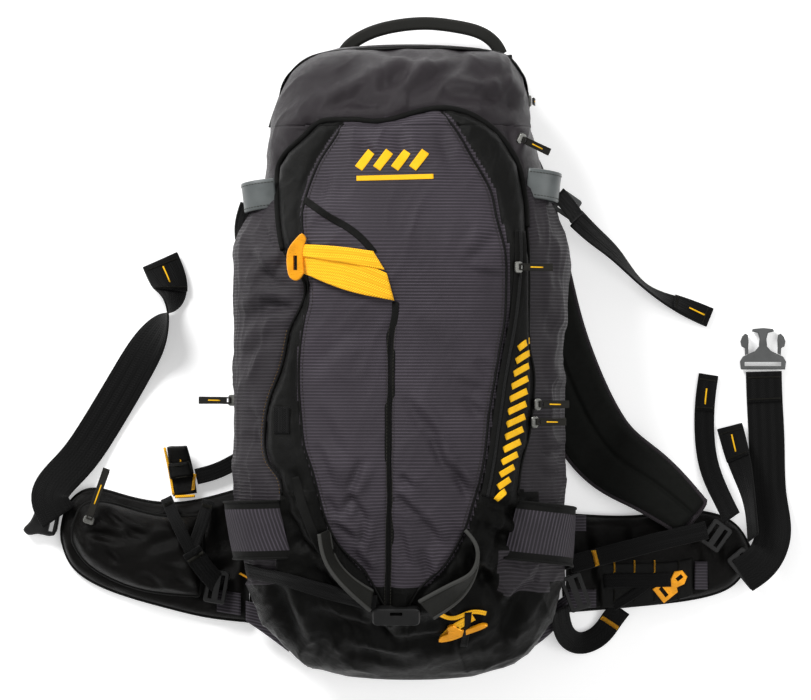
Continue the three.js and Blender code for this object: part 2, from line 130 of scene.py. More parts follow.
class Shade:
    """A Principled material, with short ways to add nodes."""

    def __init__(self, name, color, roughness, metallic=0.0, **sockets):
        self.mat = bpy.data.materials.new(name)
        self.mat.use_nodes = True
        self.tree = self.mat.node_tree
        self.bsdf = self.tree.nodes["Principled BSDF"]
        self.put(self.bsdf, "Base Color", (*color, 1))
        self.put(self.bsdf, "Roughness", roughness)
        self.put(self.bsdf, "Metallic", metallic)
        for key, value in sockets.items():
            self.put(self.bsdf, key.replace("_", " "), value)

    def put(self, node, key, value):
        if isinstance(value, bpy.types.NodeSocket):
            self.tree.links.new(value, node.inputs[key])
        else:
            node.inputs[key].default_value = value

    def add(self, kind, values=None, **props):
        node = self.tree.nodes.new("ShaderNode" + kind)
        for key, value in props.items():
            setattr(node, key, value)
        for key, value in (values or {}).items():
            self.put(node, key, value)
        return node

    def math(self, operation, a, b=0.0):
        return self.add("Math", {0: a, 1: b}, operation=operation).outputs[0]

    def uv(self):
        out = self.add("SeparateXYZ", {0: self.add("TexCoord").outputs["UV"]}).outputs
        return out["X"], out["Y"]

    def noise(self, scale, detail=3.0, roughness=0.5, stretch=None):
        coords = self.add("TexCoord").outputs["Object"]
        if stretch:
            coords = self.add("Mapping", {"Vector": coords, "Scale": stretch}).outputs[0]
        values = {"Vector": coords, "Scale": scale, "Detail": detail, "Roughness": roughness}
        return self.add("TexNoise", values).outputs["Fac"]

    def ramp(self, value, low, high, to_low=0.0, to_high=1.0):
        values = {"Value": value, "From Min": low, "From Max": high, "To Min": to_low, "To Max": to_high}
        return self.add("MapRange", values, interpolation_type="SMOOTHSTEP").outputs[0]

    def mix(self, factor, a, b):
        node = self.add("Mix", {"Factor": factor}, data_type="RGBA")
        for socket, value in zip((node.inputs[6], node.inputs[7]), (a, b)):
            if isinstance(value, bpy.types.NodeSocket):
                self.tree.links.new(value, socket)
            else:
                socket.default_value = (*value, 1)
        return node.outputs[2]

    def lines(self, along, pitch, thin=0.35, soft=0.25):
        """Thin raised lines, `pitch` metres apart: 1 on a line and 0 between."""
        phase = self.math("FRACT", self.math("DIVIDE", along, pitch))
        away = self.math("ABSOLUTE", self.math("SUBTRACT", phase, 0.5))
        return self.ramp(away, 0.5 - thin, 0.5 - thin + soft)

    def waves(self, along, pitch):
        return self.math("SINE", self.math("MULTIPLY", along, 2 * math.pi / pitch))

    def bump(self, height, distance, strength=1.0, under=None):
        values = {"Height": height, "Distance": distance, "Strength": strength}
        if under is not None:
            values["Normal"] = under
        return self.add("Bump", values).outputs[0]

    def finish(self, color=None, roughness=None, normal=None):
        for key, value in (("Base Color", color), ("Roughness", roughness), ("Normal", normal)):
            if value is not None:
                self.put(self.bsdf, key, value)
        return self.mat


def srgb(red, green, blue):
    """The linear colour of an 8-bit one."""
    parts = [c / 255 for c in (red, green, blue)]
    return tuple(c / 12.92 if c <= 0.04045 else ((c + 0.055) / 1.055) ** 2.4 for c in parts)


def ripstop(name, dark, light, pitch, across=False, roughness=0.55):
    shade = Shade(name, dark, roughness, Specular_IOR_Level=0.17)
    u, v = shade.uv()
    run, cross = (u, v) if across else (v, u)
    line = shade.lines(run, pitch, 0.3, 0.22)
    worn = shade.ramp(shade.noise(22, 4), 0.3, 0.72, 0.45, 1.0)
    shown = shade.math("MULTIPLY", line, worn)
    tint = shade.mix(
        shade.ramp(shade.noise(9, 5), 0.3, 0.7), [c * 0.86 for c in dark], [c * 1.14 for c in dark]
    )
    color = shade.mix(shown, tint, light)
    thread = shade.math("MULTIPLY", shade.waves(run, 0.0011), shade.waves(cross, 0.0011))
    fine = shade.bump(thread, 0.00012, 0.5)
    crinkle = shade.bump(shade.noise(70, 5, 0.6), 0.0012, 0.45, fine)
    return shade.finish(
        color, shade.ramp(shown, 0, 1, roughness + 0.08, roughness - 0.1),
        shade.bump(line, 0.0003, 0.8, crinkle)
    )


def nylon(name, color, roughness, crinkle=0.0012, weave=0.0009, spread=0.16, sheen=0.0, gloss=0.1):
    shade = Shade(name, color, roughness, Specular_IOR_Level=gloss, Sheen_Weight=sheen, Sheen_Roughness=0.4)
    u, v = shade.uv()
    tone = shade.ramp(shade.noise(11, 5, 0.6), 0.25, 0.75)
    tint = shade.mix(tone, [c * (1 - spread) for c in color], [c * (1 + spread) for c in color])
    thread = shade.math("MULTIPLY", shade.waves(u, weave), shade.waves(v, weave))
    fine = shade.bump(thread, 0.00015, 0.6)
    creased = shade.bump(shade.noise(48, 6, 0.62), crinkle, 0.5, fine)
    scuff = shade.ramp(shade.noise(160, 4, 0.7), 0.3, 0.8, roughness - 0.06, roughness + 0.1)
    return shade.finish(tint, scuff, creased)


def webbing(name, color):
    shade = Shade(name, color, 0.62, Specular_IOR_Level=0.08, Sheen_Weight=0.04, Sheen_Roughness=0.5)
    u, v = shade.uv()
    zigzag = shade.math("PINGPONG", u, 0.0045)
    rib = shade.waves(shade.math("ADD", v, zigzag), 0.0021)
    rows = shade.waves(u, 0.0030)
    height = shade.math("ADD", rib, shade.math("MULTIPLY", rows, 0.5))
    # Painted shade and highlight: the colour follows the weave's height, darker in the grooves and lighter
    # on the ribs.
    tone = shade.ramp(height, -1.4, 1.4)
    tint = shade.mix(tone, [c * 0.78 for c in color], [c * 1.3 for c in color])
    fuzz = shade.bump(shade.noise(900, 2), 0.0002, 0.4)
    return shade.finish(tint, None, shade.bump(height, 0.00025, 0.8, fuzz))


def spacer_mesh(name, color, hole=0.0026):
    shade = Shade(name, color, 0.85, Specular_IOR_Level=0.1, Sheen_Weight=0.05, Sheen_Roughness=0.6)
    u, v = shade.uv()
    vector = shade.add("CombineXYZ", {"X": u, "Y": v}).outputs[0]
    cells = shade.add(
        "TexVoronoi", {"Vector": vector, "Scale": 1 / hole, "Randomness": 0.25}
    ).outputs["Distance"]
    pit = shade.ramp(cells, 0.12, 0.42)
    # Painted shade: the mesh's holes are coloured darker, and the cloth between them lighter.
    tint = shade.mix(pit, [c * 0.45 for c in color], [c * 1.25 for c in color])
    soft = shade.bump(shade.noise(35, 4), 0.0015, 0.4)
    return shade.finish(tint, None, shade.bump(pit, 0.0006, 0.9, soft))


def plastic(name, color, roughness=0.42, grain=1400):
    shade = Shade(name, color, roughness, Specular_IOR_Level=0.3)
    worn = shade.ramp(shade.noise(120, 4, 0.7), 0.35, 0.75, roughness - 0.08, roughness + 0.14)
    tint = shade.mix(
        shade.ramp(shade.noise(60, 3), 0.3, 0.7), [c * 0.9 for c in color], [c * 1.12 for c in color]
    )
    return shade.finish(tint, worn, shade.bump(shade.noise(grain, 2), 0.00008, 0.5))


def metal(name, color, roughness, metallic=1.0):
    shade = Shade(name, color, roughness, metallic)
    worn = shade.ramp(shade.noise(220, 4, 0.7, (1, 6, 1)), 0.3, 0.8, roughness - 0.1, roughness + 0.16)
    tint = shade.mix(
        shade.ramp(shade.noise(90, 4), 0.3, 0.7), [c * 0.85 for c in color], [c * 1.1 for c in color]
    )
    return shade.finish(tint, worn, shade.bump(shade.noise(700, 3), 0.00005, 0.5))


def zip_teeth(name, color):
    shade = Shade(name, color, 0.5, Specular_IOR_Level=0.2)
    _, v = shade.uv()
    tooth = shade.lines(v, 0.0013, 0.35, 0.2)
    # Painted shade and highlight: the gaps between teeth are darkened and the teeth lightened.
    tint = shade.mix(tooth, [c * 0.5 for c in color], [c * 1.4 for c in color])
    return shade.finish(tint, None, shade.bump(tooth, 0.0004, 1.0))


M = {
    "front": ripstop("front_ripstop", srgb(45, 41, 46), srgb(72, 66, 74), 0.0031),
    "side": ripstop("side_ripstop", srgb(38, 35, 38), srgb(55, 51, 56), 0.0033, roughness=0.5),
    "sleeve": ripstop("sleeve_ripstop", srgb(40, 37, 41), srgb(72, 67, 75), 0.0030, across=True),
    "lid": nylon("lid_nylon", srgb(38, 34, 37), 0.4, 0.0016, gloss=0.17),
    "black": nylon("black_nylon", srgb(13, 13, 12), 0.48, 0.0024, 0.0013, 0.2, gloss=0.1),
    "base": nylon("base_nylon", srgb(10, 10, 9), 0.38, 0.0024, 0.0012, 0.25, gloss=0.06),
    "belt": nylon("belt_nylon", srgb(11, 10, 9), 0.38, 0.0024, 0.0012, 0.22, gloss=0.08),
    "binding": nylon("binding_tape", srgb(15, 15, 14), 0.75, 0.0004, 0.0016, 0.15, 0.03),
    "lining": nylon("lining", srgb(84, 86, 90), 0.6, 0.0012),
    "webbing": webbing("black_webbing", srgb(12, 12, 12)),
    "yellow": webbing("yellow_webbing", srgb(252, 186, 38)),
    "coated": nylon("coated_strap", srgb(36, 36, 34), 0.6, 0.0004, 0.0012, 0.1),
    "coated_edge": nylon("coated_strap_edge", srgb(62, 62, 60), 0.6, 0.0003, 0.0012, 0.1),
    "mesh": spacer_mesh("spacer_mesh", srgb(18, 19, 18)),
    "purple_mesh": spacer_mesh("purple_mesh", srgb(40, 36, 39), 0.0022),
    "foam": nylon("foam_cover", srgb(16, 17, 15), 0.72, 0.0014, 0.0012, 0.14, 0.03),
    "plastic": plastic("black_plastic", srgb(14, 14, 14)),
    "grey_plastic": plastic("grey_plastic", srgb(78, 79, 79), 0.36),
    "tab_plastic": plastic("tab_plastic", srgb(88, 92, 92), 0.36),
    "amber": metal("amber_metal", srgb(242, 160, 12), 0.34, 0.4),
    "zip_metal": metal("zip_metal", srgb(128, 128, 124), 0.32),
    "alloy": metal("alloy", srgb(185, 186, 190), 0.35),
    "teeth": zip_teeth("zip_teeth", srgb(14, 14, 14)),
    "thread": nylon("yellow_thread", srgb(226, 150, 28), 0.6, 0.0003, 0.0008, 0.2),
    "dull_thread": nylon("dull_yellow_thread", srgb(118, 92, 44), 0.7, 0.0003, 0.0008, 0.2),
    "dark_thread": nylon("dark_thread", srgb(50, 49, 44), 0.7, 0.0003, 0.0008, 0.2),
    "print": nylon("yellow_print", srgb(244, 186, 30), 0.5, 0.0003, 0.0012, 0.08),
    "pull": nylon("zip_pull", srgb(34, 33, 30), 0.6, 0.0003, 0.0014, 0.12),
    "sheet": plastic("frame_sheet", srgb(40, 41, 45), 0.5),
}

# ---------------------------------------------------------------- curves and meshes


def profile(pairs):
    """A smooth curve through (position, value) pairs, which never overshoots between them."""
    at, value = np.array(pairs, float).T
    slope = np.diff(value) / np.diff(at)
    before = np.concatenate([slope[:1], slope])
    after = np.concatenate([slope, slope[-1:]])
    same = before * after > 0
    total = np.where(same, before + after, 1.0)
    tangent = np.where(same, 2 * before * after / total, 0.0)

    def curve(x):
        x = np.clip(np.asarray(x, float), at[0], at[-1])
        k = np.clip(np.searchsorted(at, x, side="left") - 1, 0, len(at) - 2)
        span = at[k + 1] - at[k]
        t = (x - at[k]) / span
        return (
            value[k] * (2 * t**3 - 3 * t**2 + 1)
            + tangent[k] * span * (t**3 - 2 * t**2 + t)
            + value[k + 1] * (3 * t**2 - 2 * t**3)
            + tangent[k + 1] * span * (t**3 - t**2)
        )

    return curve


def spline(points, step=3.0, closed=False):
    """Evenly spaced points on a smooth curve through the given ones, with every column smoothed alike."""
    p = np.array(points, float)
    n = 3 if p.shape[1] > 2 else 2
    if closed:
        p = np.concatenate([p[-3:], p, p[:3]])
    knots = np.concatenate([[0], np.cumsum(np.linalg.norm(np.diff(p[:, :n], axis=0), axis=1) ** 0.5)])
    count = len(p)
    h = np.diff(knots)
    matrix = np.eye(count)
    right = np.zeros_like(p)
    for i in range(1, count - 1):
        matrix[i, i - 1], matrix[i, i], matrix[i, i + 1] = h[i - 1], 2 * (h[i - 1] + h[i]), h[i]
        right[i] = 6 * ((p[i + 1] - p[i]) / h[i] - (p[i] - p[i - 1]) / h[i - 1])
    bend = np.linalg.solve(matrix, right)

    def at(s):
        k = np.clip(np.searchsorted(knots, s) - 1, 0, count - 2)
        a = ((knots[k + 1] - s) / h[k])[:, None]
        b = 1 - a
        h2 = (h[k] ** 2 / 6)[:, None]
        return a * p[k] + b * p[k + 1] + ((a**3 - a) * bend[k] + (b**3 - b) * bend[k + 1]) * h2

    low, high = (knots[3], knots[-3]) if closed else (knots[0], knots[-1])
    fine = np.linspace(low, high, 60 * count)
    dense = at(fine)
    run = np.concatenate([[0], np.cumsum(np.linalg.norm(np.diff(dense[:, :n], axis=0), axis=1))])
    even = np.linspace(0, run[-1], max(4, int(round(run[-1] / step)) + 1))
    if closed:
        even = even[:-1]
    return at(np.interp(even, run, fine))


def lengths(points):
    return np.concatenate([[0], np.cumsum(np.linalg.norm(np.diff(points[:, :3], axis=0), axis=1))])


class Build:
    """Gathers vertices, faces, weave coordinates and materials into one mesh."""

    def __init__(self):
        self.points, self.faces, self.weave, self.kinds = [], [], [], []
        self.count = 0

    def grid(self, points, weave, kind, wrap=False, skip=None):
        """points and weave are rows by columns; kind is a material name, or an array of them per face."""
        rows, columns = points.shape[:2]
        index = np.arange(rows * columns).reshape(rows, columns) + self.count
        if wrap:
            index = np.concatenate([index, index[:, :1]], axis=1)
        quads = np.stack([index[:-1, :-1], index[:-1, 1:], index[1:, 1:], index[1:, :-1]], -1)
        kinds = np.broadcast_to(np.asarray(kind, dtype=object), quads.shape[:2]).reshape(-1)
        quads = quads.reshape(-1, 4)
        if skip is not None:
            keep = ~skip.reshape(-1)
            quads, kinds = quads[keep], kinds[keep]
        self.faces += quads.tolist()
        self.kinds += kinds.tolist()
        self.points.append(points.reshape(-1, 3))
        self.weave.append(weave.reshape(-1, 2))
        self.count += rows * columns
        return index

    def cap(self, ring, kind, flip=False):
        """A fan over the last ring of indices."""
        flat = np.concatenate(self.points)
        self.points.append(flat[ring].mean(axis=0)[None])
        self.weave.append(np.concatenate(self.weave)[ring].mean(axis=0)[None])
        for a, b in zip(ring, np.roll(ring, -1)):
            self.faces.append([int(a), int(b), self.count] if flip else [int(b), int(a), self.count])
            self.kinds.append(kind)
        self.count += 1

    def sweep(self, path, across, normal, section, kind, caps=True):
        """A closed section, an array of (across, normal) offsets, carried along a path."""
        section = np.asarray(section, float)
        if section.ndim == 2:
            section = np.broadcast_to(section, (len(path), *section.shape))
        rings = path[:, None, :3] + section[..., :1] * across[:, None] + section[..., 1:] * normal[:, None]
        run = lengths(path)
        round_ = section[..., 0] + np.sign(section[..., 1]) * 0.0
        weave = np.stack([round_, np.broadcast_to(run[:, None], round_.shape)], -1) * MM
        index = self.grid(rings, weave, kind, wrap=True)
        if caps:
            end = kind if isinstance(kind, str) else kind[-1][-1]
            self.cap(index[0, :-1], end)
            self.cap(index[-1, :-1], end, flip=True)

    def object(self, name, body, smooth=True):
        mesh = bpy.data.meshes.new(name)
        points = np.concatenate(self.points) * MM
        mesh.from_pydata(points.tolist(), [], self.faces)
        names = sorted(set(self.kinds))
        for kind in names:
            mesh.materials.append(M[kind])
        place = {kind: i for i, kind in enumerate(names)}
        mesh.polygons.foreach_set("material_index", [place[k] for k in self.kinds])
        mesh.polygons.foreach_set("use_smooth", [smooth] * len(mesh.polygons))
        weave = np.concatenate(self.weave)
        corners = np.empty(len(mesh.loops), dtype=np.int32)
        mesh.loops.foreach_get("vertex_index", corners)
        mesh.uv_layers.new(name="weave").data.foreach_set(
            "uv", weave[corners].astype(np.float32).reshape(-1)
        )
        mesh.update()
        obj = bpy.data.objects.new(name, mesh)
        bpy.context.collection.objects.link(obj)
        if body:
            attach(obj, body)
        return obj


def frame_along(path, roll=0.0):
    """Across and normal directions of a strap that lies flat where roll, in degrees, is 0."""
    along = np.gradient(path[:, :3], axis=0)
    along /= np.linalg.norm(along, axis=1)[:, None]
    side = np.cross(along, UP)
    side /= np.linalg.norm(side, axis=1)[:, None]
    up = np.cross(side, along)
    angle = np.radians(roll + np.zeros(len(path)))[:, None]
    across = side * np.cos(angle) + up * np.sin(angle)
    return across, np.cross(across, along)


def strap_section(width, thickness, parts=8):
    """A flat strap's outline, with rounded selvages that stand slightly proud."""
    half, t = width / 2, thickness / 2
    inner = np.linspace(-half + t, half - t, parts)
    lip = 1 + 0.25 * (np.abs(inner) > half - 3 * t)
    top = np.stack([inner, t * lip], 1)
    right = [[half - 0.3 * t, 0.7 * t], [half, 0], [half - 0.3 * t, -0.7 * t]]
    bottom = np.stack([inner[::-1], -t * lip], 1)
    left = [[-half + 0.3 * t, -0.7 * t], [-half, 0], [-half + 0.3 * t, 0.7 * t]]
    return np.concatenate([top, right, bottom, left])[::-1]


def add_strap(build, points, width, thickness, kind="webbing", step=3.0):
    """A strap through points [x, y, z, roll]. Returns its sampled path, across and normal."""
    path = spline([[*p[:3], p[3] if len(p) > 3 else 0] for p in points], step)
    across, normal = frame_along(path, path[:, 3])
    build.sweep(path, across, normal, strap_section(width, thickness), kind)
    return path, across, normal


def add_tube(build, points, radius, kind, step=3.0, sides=8, closed=False):
    path = spline(points, step, closed)[:, :3] if step else np.asarray(points, float)[:, :3]
    if closed:
        path = np.concatenate([path, path[:1]])
    across, normal = frame_along(path)
    angle = -np.linspace(0, 2 * math.pi, sides, endpoint=False)
    section = np.stack([np.cos(angle), np.sin(angle)], 1) * radius
    build.sweep(path, across, normal, section, kind, caps=not closed)
    return path


def add_tack(build, middle, along, across, length, kind="thread", wide=1.3, turns=None):
    """A bar tack: a tight zigzag of thread on a surface."""
    turns = turns or max(6, int(length / 1.1))
    t = np.linspace(-0.5, 0.5, 2 * turns + 1)
    side = np.where(np.arange(len(t)) % 2, 1, -1) * wide
    path = np.asarray(middle) + t[:, None] * length * np.asarray(along) + side[:, None] * np.asarray(across)
    normal = np.cross(across, along)
    section = [[0.45, 0], [0, -0.35], [-0.45, 0], [0, 0.35]]
    n = len(path)
    build.sweep(path, np.tile(along, (n, 1)), np.tile(normal, (n, 1)), section, kind)


def add_stitches(build, path, normal, pitch=3.2, length=2.0, kind="dark_thread", radius=0.32):
    """A row of short stitches on a path."""
    run = lengths(path)
    for start in np.arange(pitch / 2, run[-1] - length, pitch):
        ends = [[np.interp(start + k * length, run, path[:, j]) for j in range(3)] for k in (0, 0.5, 1)]
        up = np.array([np.interp(start, run, normal[:, j]) for j in range(3)])
        points = np.array(ends) + up * np.array([[0.05], [0.4], [0.05]])
        across, lift = frame_along(points)
        section = [[radius, 0], [0, -radius], [-radius, 0], [0, radius]]
        build.sweep(points, across, lift, section, kind, caps=False)


# ---------------------------------------------------------------- noise, creases and plan tests


def value_noise(x, y, size, seed):
    """Smooth noise from -1 to 1 whose lumps are about `size` across."""
    table = np.random.default_rng(seed).uniform(-1, 1, (256, 256))
    gx, gy = x / size + 91.3, y / size + 57.7
    ix, iy = np.floor(gx).astype(int), np.floor(gy).astype(int)
    fx, fy = gx - ix, gy - iy
    fx, fy = fx * fx * (3 - 2 * fx), fy * fy * (3 - 2 * fy)
    a, b = table[ix % 256, iy % 256], table[(ix + 1) % 256, iy % 256]
    c, d = table[ix % 256, (iy + 1) % 256], table[(ix + 1) % 256, (iy + 1) % 256]
    return (a * (1 - fx) + b * fx) * (1 - fy) + (c * (1 - fx) + d * fx) * fy


def folds(x, y, size, seed, turn=0.0, stretch=2.5):
    """Ridged, drawn-out noise, like creased cloth, from 0 to 1."""
    c, s = math.cos(math.radians(turn)), math.sin(math.radians(turn))
    bend = 0.5 * size * value_noise(x, y, 2.2 * size, seed + 5)
    along, cross = (c * x + s * y) / stretch + bend * 0.3, -s * x + c * y + bend
    first = 1 - np.abs(value_noise(along, cross, size, seed))
    second = 1 - np.abs(value_noise(along, cross, size * 0.47, seed + 1))
    return 0.7 * first**3 + 0.3 * second**3


def creases(x, y, items):
    """Sum of pressed-in folds [x0, y0, x1, y1, depth, width], each with a ridge along one side."""
    height = np.zeros_like(x)
    for x0, y0, x1, y1, depth, width in items:
        run = math.hypot(x1 - x0, y1 - y0)
        ax, ay = (x1 - x0) / run, (y1 - y0) / run
        wander = 0.25 * width * value_noise(x, y, 14, int(abs(x0 * 7 + y0 * 3)) % 97)
        t = ((x - x0) * ax + (y - y0) * ay) / run
        s = -(x - x0) * ay + (y - y0) * ax + wander
        inside = (t > 0) & (t < 1)
        taper = np.where(inside, np.sin(np.pi * np.clip(t, 0, 1)), 0) ** 0.7
        height += taper * depth * (
            0.7 * np.exp(-(((s - 1.5 * width) / (1.2 * width)) ** 2)) - np.exp(-((s / width) ** 2))
        )
    return height


def within(x, y, polygon):
    polygon = np.asarray(polygon, float)
    result = np.zeros(x.shape, bool)
    for (x0, y0), (x1, y1) in zip(polygon, np.roll(polygon, -1, axis=0)):
        crosses = (y0 > y) != (y1 > y)
        at = x0 + (y - y0) / np.where(y1 == y0, 1e-9, y1 - y0) * (x1 - x0)
        result ^= crosses & (x < at)
    return result


def distance(x, y, line):
    line = np.asarray(line, float)
    best = np.full(x.shape, 1e9)
    for (x0, y0), (x1, y1) in zip(line[:-1], line[1:]):
        dx, dy = x1 - x0, y1 - y0
        t = np.clip(((x - x0) * dx + (y - y0) * dy) / (dx * dx + dy * dy + 1e-9), 0, 1)
        best = np.minimum(best, np.hypot(x - x0 - t * dx, y - y0 - t * dy))
    return best

# ---------------------------------------------------------------- the pack's outer form, as in the CAD

FRONT_ROUND, BACK_ROUND = 2.6, 6.0
LID_SPLIT_Y, LID_SPLIT_Z = 216.0, 90.0
RAISE = 9.0
left_edge = profile([
    (-324, -58), (-308, -96), (-285, -123), (-250, -144), (-200, -158), (-110, -166), (90, -166),
    (125, -154),
    (160, -136), (210, -130), (246, -122), (265, -114), (287, -90), (298, -64),
])
right_edge = profile([
    (-324, 63), (-308, 98), (-285, 124), (-250, 143), (-200, 150), (-110, 150), (-20, 149), (60, 153),
    (95, 152), (125, 143), (160, 130), (195, 123), (236, 113), (262, 108), (287, 91), (298, 66),
])
ridge = profile([
    (-324, 82), (-308, 106), (-285, 130), (-250, 156), (-200, 180), (-140, 198), (-100, 204), (90, 204),
    (150, 189), (232, 167), (265, 146), (287, 112), (298, 76),
])
waist = profile([(-324, 66), (-285, 86), (-200, 96), (-100, 98), (90, 98), (265, 86), (298, 63)])
back_edge = profile([(-324, 50), (-300, 36), (-270, 30), (265, 30), (285, 38), (298, 52)])

# Seams of the front, in plan.
ARCH = [
    (-124.5, 98.5), (-128.5, 121.5), (-129.8, 143.5), (-129.5, 165), (-128.5, 182.5), (-119.5, 197.5),
    (-100.5, 214.5), (-89.5, 225.5), (-69.5, 229), (-48, 228), (-30.5, 226.8), (-11.5, 230), (6.2, 235.5),
    (25.5, 239.8), (43.1, 239.8), (60.5, 235.5), (77.5, 225.7), (90.5, 214.9), (101.5, 199.5),
    (110.5, 184.5),
    (114.5, 165), (117.9, 143.5), (119, 121.5),
]
PANEL_LEFT = [
    (-64.5, 224), (-74, 208.5), (-87, 188.8), (-95.7, 169.5), (-102.5, 149.5), (-105.5, 132.5),
    (-104, 111.5),
    (-99, 63.5), (-98.5, 46), (-102.5, 31), (-107.5, -1.5), (-108.7, -34.2), (-106.5, -66.5),
    (-102.7, -99.5),
    (-97.9, -113.2), (-91.5, -134.5), (-86, -156.5), (-78.5, -178.3), (-65.5, -200), (-43.5, -221.5),
    (-30.5, -243.5), (-19.8, -262.5),
]
PANEL_RIGHT = [
    (34.5, 236), (47.5, 219.5), (60.5, 197.5), (73.5, 175.8), (84.3, 154.1), (88.5, 132.5), (97.3, 98.1),
    (98.5, 63.5), (97.3, 30.9), (91.9, -1.5), (85.4, -40.5), (81.1, -66.5), (77.8, -99.3), (71.3, -134.9),
    (64.8, -156.5), (58.3, -178.3), (47.5, -200), (34.4, -219.5), (12.7, -239), (-0.3, -260.5),
]
GUSSET_LEFT = [
    (-124.5, 98.5), (-112, 80), (-102, 63.5), (-106.6, 41.7), (-117.5, 20), (-121.8, -1.5), (-127.2, -23.3),
    (-135.9, -45), (-141.3, -66.5), (-142.5, -99.3), (-137, -117.5), (-127.2, -130), (-125, -146),
]
GUSSET_RIGHT = [
    (119, 121.5), (121.2, 96), (121.2, 30.9), (122.3, -1.5), (126.5, -23.3), (125, -60), (121.2, -88.5),
    (114.5, -113.2), (110.3, -146),
]
SLIT = [
    (-102.5, 148.5), (-80, 133), (-50.5, 114.5), (-33.5, 95.5), (-24, 80), (-17.5, 60), (-14, 46.5),
    (-10.5, 36.5)
]
CENTRE = [
    (-13.5, 46.5), (-13, 36), (-15, 24), (-17, 12), (-17.5, -4), (-18, -120), (-19, -200), (-19.8, -262)
]
ZIP_RIGHT = [
    (112, 118), (113, 96), (111, 60), (106, 20), (101, -10), (95, -50), (90, -90), (85, -120), (80, -148)
]

FRONT_CREASES = [
    [-52.5, -143.5, -65.5, -163, 3.0, 4.5], [-44, -110, -61, -143, 3.4, 5],
    [-61, -139, -40, -170, 3.2, 4.5],
    [-41, -164, -46, -194, 2.6, 4], [-66, -168, -82, -146, 2.6, 4.5], [-75, -170, -50, -187, 2.2, 4],
    [-14, -142, 10, -166, 3.2, 4.5], [6, -160, 34, -193, 3.0, 5], [24, -90, 38, -121, 3.6, 5],
    [34, -114, 65, -143, 3.2, 5], [48, -120, 60, -152, 2.4, 4], [-10, -124, 6, -138, 2.4, 4],
    [-4, -49, 36, -104, 3.2, 6.5], [56, -48, 70, -70, 3.0, 5.5], [52, 78, 94, 71, 2.6, 5],
    [55, 79, 90, 118, 2.0, 7], [-86, -60, -60, -118, 2.0, 8], [-90, -96, -70, -140, 2.6, 6],
    [14, -196, 24, -232, 3.0, 5], [-10, -176, 2, -214, 2.6, 4.5], [-56, -196, -36, -222, 3.0, 5],
    [40, -30, 78, -50, 1.8, 7], [-60, 20, -92, -30, 1.6, 9], [10, 30, 40, -10, 1.3, 9],
    [66, -10, 84, -28, 2.0, 6],
    [-48, 205, -30, 180, 2.4, 7], [-10, 214, 2, 176, 2.2, 7], [-76, 176, -88, 140, 1.8, 6],
    [30, 214, 44, 176, 2.2, 7],
    [-90, 128, -64, 118, 2.2, 5],
]
LID_CREASES = [
    [-92, 236, -20, 262, 4.2, 8], [-30, 257, 10, 282, 3.6, 7], [-4, 252, 60, 292, 4.4, 8],
    [70, 262, 102, 238, 4.2, 7],
    [90, 268, 108, 236, 3.4, 5.5], [34, 256, 88, 244, 3.0, 7], [-112, 196, -84, 238, 2.6, 9],
    [-60, 244, -16, 246, 3.0, 6],
    [-34, 300, 18, 286, 4.0, 5], [14, 286, 60, 298, 3.8, 5], [52, 276, 98, 270, 3.0, 7],
    [-100, 250, -60, 284, 2.4, 10],
    [98, 226, 108, 190, 2.8, 5], [-120, 176, -124, 214, 1.8, 6], [-70, 262, -40, 292, 2.4, 9],
]
SIDE_CREASES = [
    [-158, 96, -128, 60, 3.2, 6], [-150, 60, -118, 92, 3.0, 6], [-160, 30, -124, 52, 3.2, 7],
    [-144, 46, -114, 40, 4.0, 6],
    [-160, -10, -134, 18, 2.4, 7], [-158, -60, -142, -98, 3.2, 6], [-162, -84, -130, -112, 3.4, 7],
    [-150, -100, -128, -140, 3.0, 6], [134, 118, 150, 60, 2.4, 7], [128, 40, 150, 8, 2.6, 8],
    [126, -98, 150, -104, 4.2, 5],
    [122, -120, 148, -132, 2.6, 6], [126, -20, 150, -48, 2.4, 7], [-144, 120, -130, 96, 2.6, 6],
]
BASE_CREASES = [
    [-140, -212, -98, -300, 4.5, 8], [-98, -262, -20, -286, 4.5, 7], [-20, -292, 60, -286, 4.2, 7],
    [-60, -300, 10, -312, 4.0, 7],
    [60, -236, 110, -208, 4.5, 7], [70, -214, 96, -262, 4.0, 7], [100, -260, 140, -214, 4.0, 8],
    [34, -252, 46, -300, 3.6, 6],
    [-120, -160, -96, -196, 4.4, 7], [-112, -186, -70, -214, 4.6, 7], [-96, -214, -60, -246, 4.2, 7],
    [-130, -250, -108, -290, 3.6, 7],
    [78, -150, 112, -166, 4.4, 6], [70, -176, 106, -190, 4.6, 6], [60, -200, 80, -236, 4.0, 6],
    [-40, -262, -10, -296, 3.6, 6],
    [110, -236, 90, -300, 4.2, 8], [-70, -270, -96, -312, 3.6, 7], [-104, -142, -112, -120, 3.4, 5],
]


def ring(y, count):
    """Evenly spaced points round one cross-section, from the back's middle by way of the right."""
    left, right = float(left_edge(y)), float(right_edge(y))
    middle, half, centre = (left + right) / 2, (right - left) / 2, float(waist(y))
    turn = np.linspace(-math.pi / 2, 1.5 * math.pi, 1441)
    c, s = np.cos(turn), np.sin(turn)
    power = np.where(s >= 0, 2 / FRONT_ROUND, 2 / BACK_ROUND)
    reach = np.where(s >= 0, float(ridge(y)) - centre, centre - float(back_edge(y)))
    x = middle + half * np.sign(c) * np.abs(c) ** power
    z = centre + reach * np.sign(s) * np.abs(s) ** power
    run = np.concatenate([[0], np.cumsum(np.hypot(np.diff(x), np.diff(z)))])
    front = run[720]
    even = np.concatenate(
        [np.linspace(0, front, count // 2 + 1), np.linspace(front, run[-1], count // 2 + 1)[1:]]
    )
    points = np.stack([np.interp(even, run, x), np.full(len(even), y), np.interp(even, run, z)], 1)
    return points, even - front


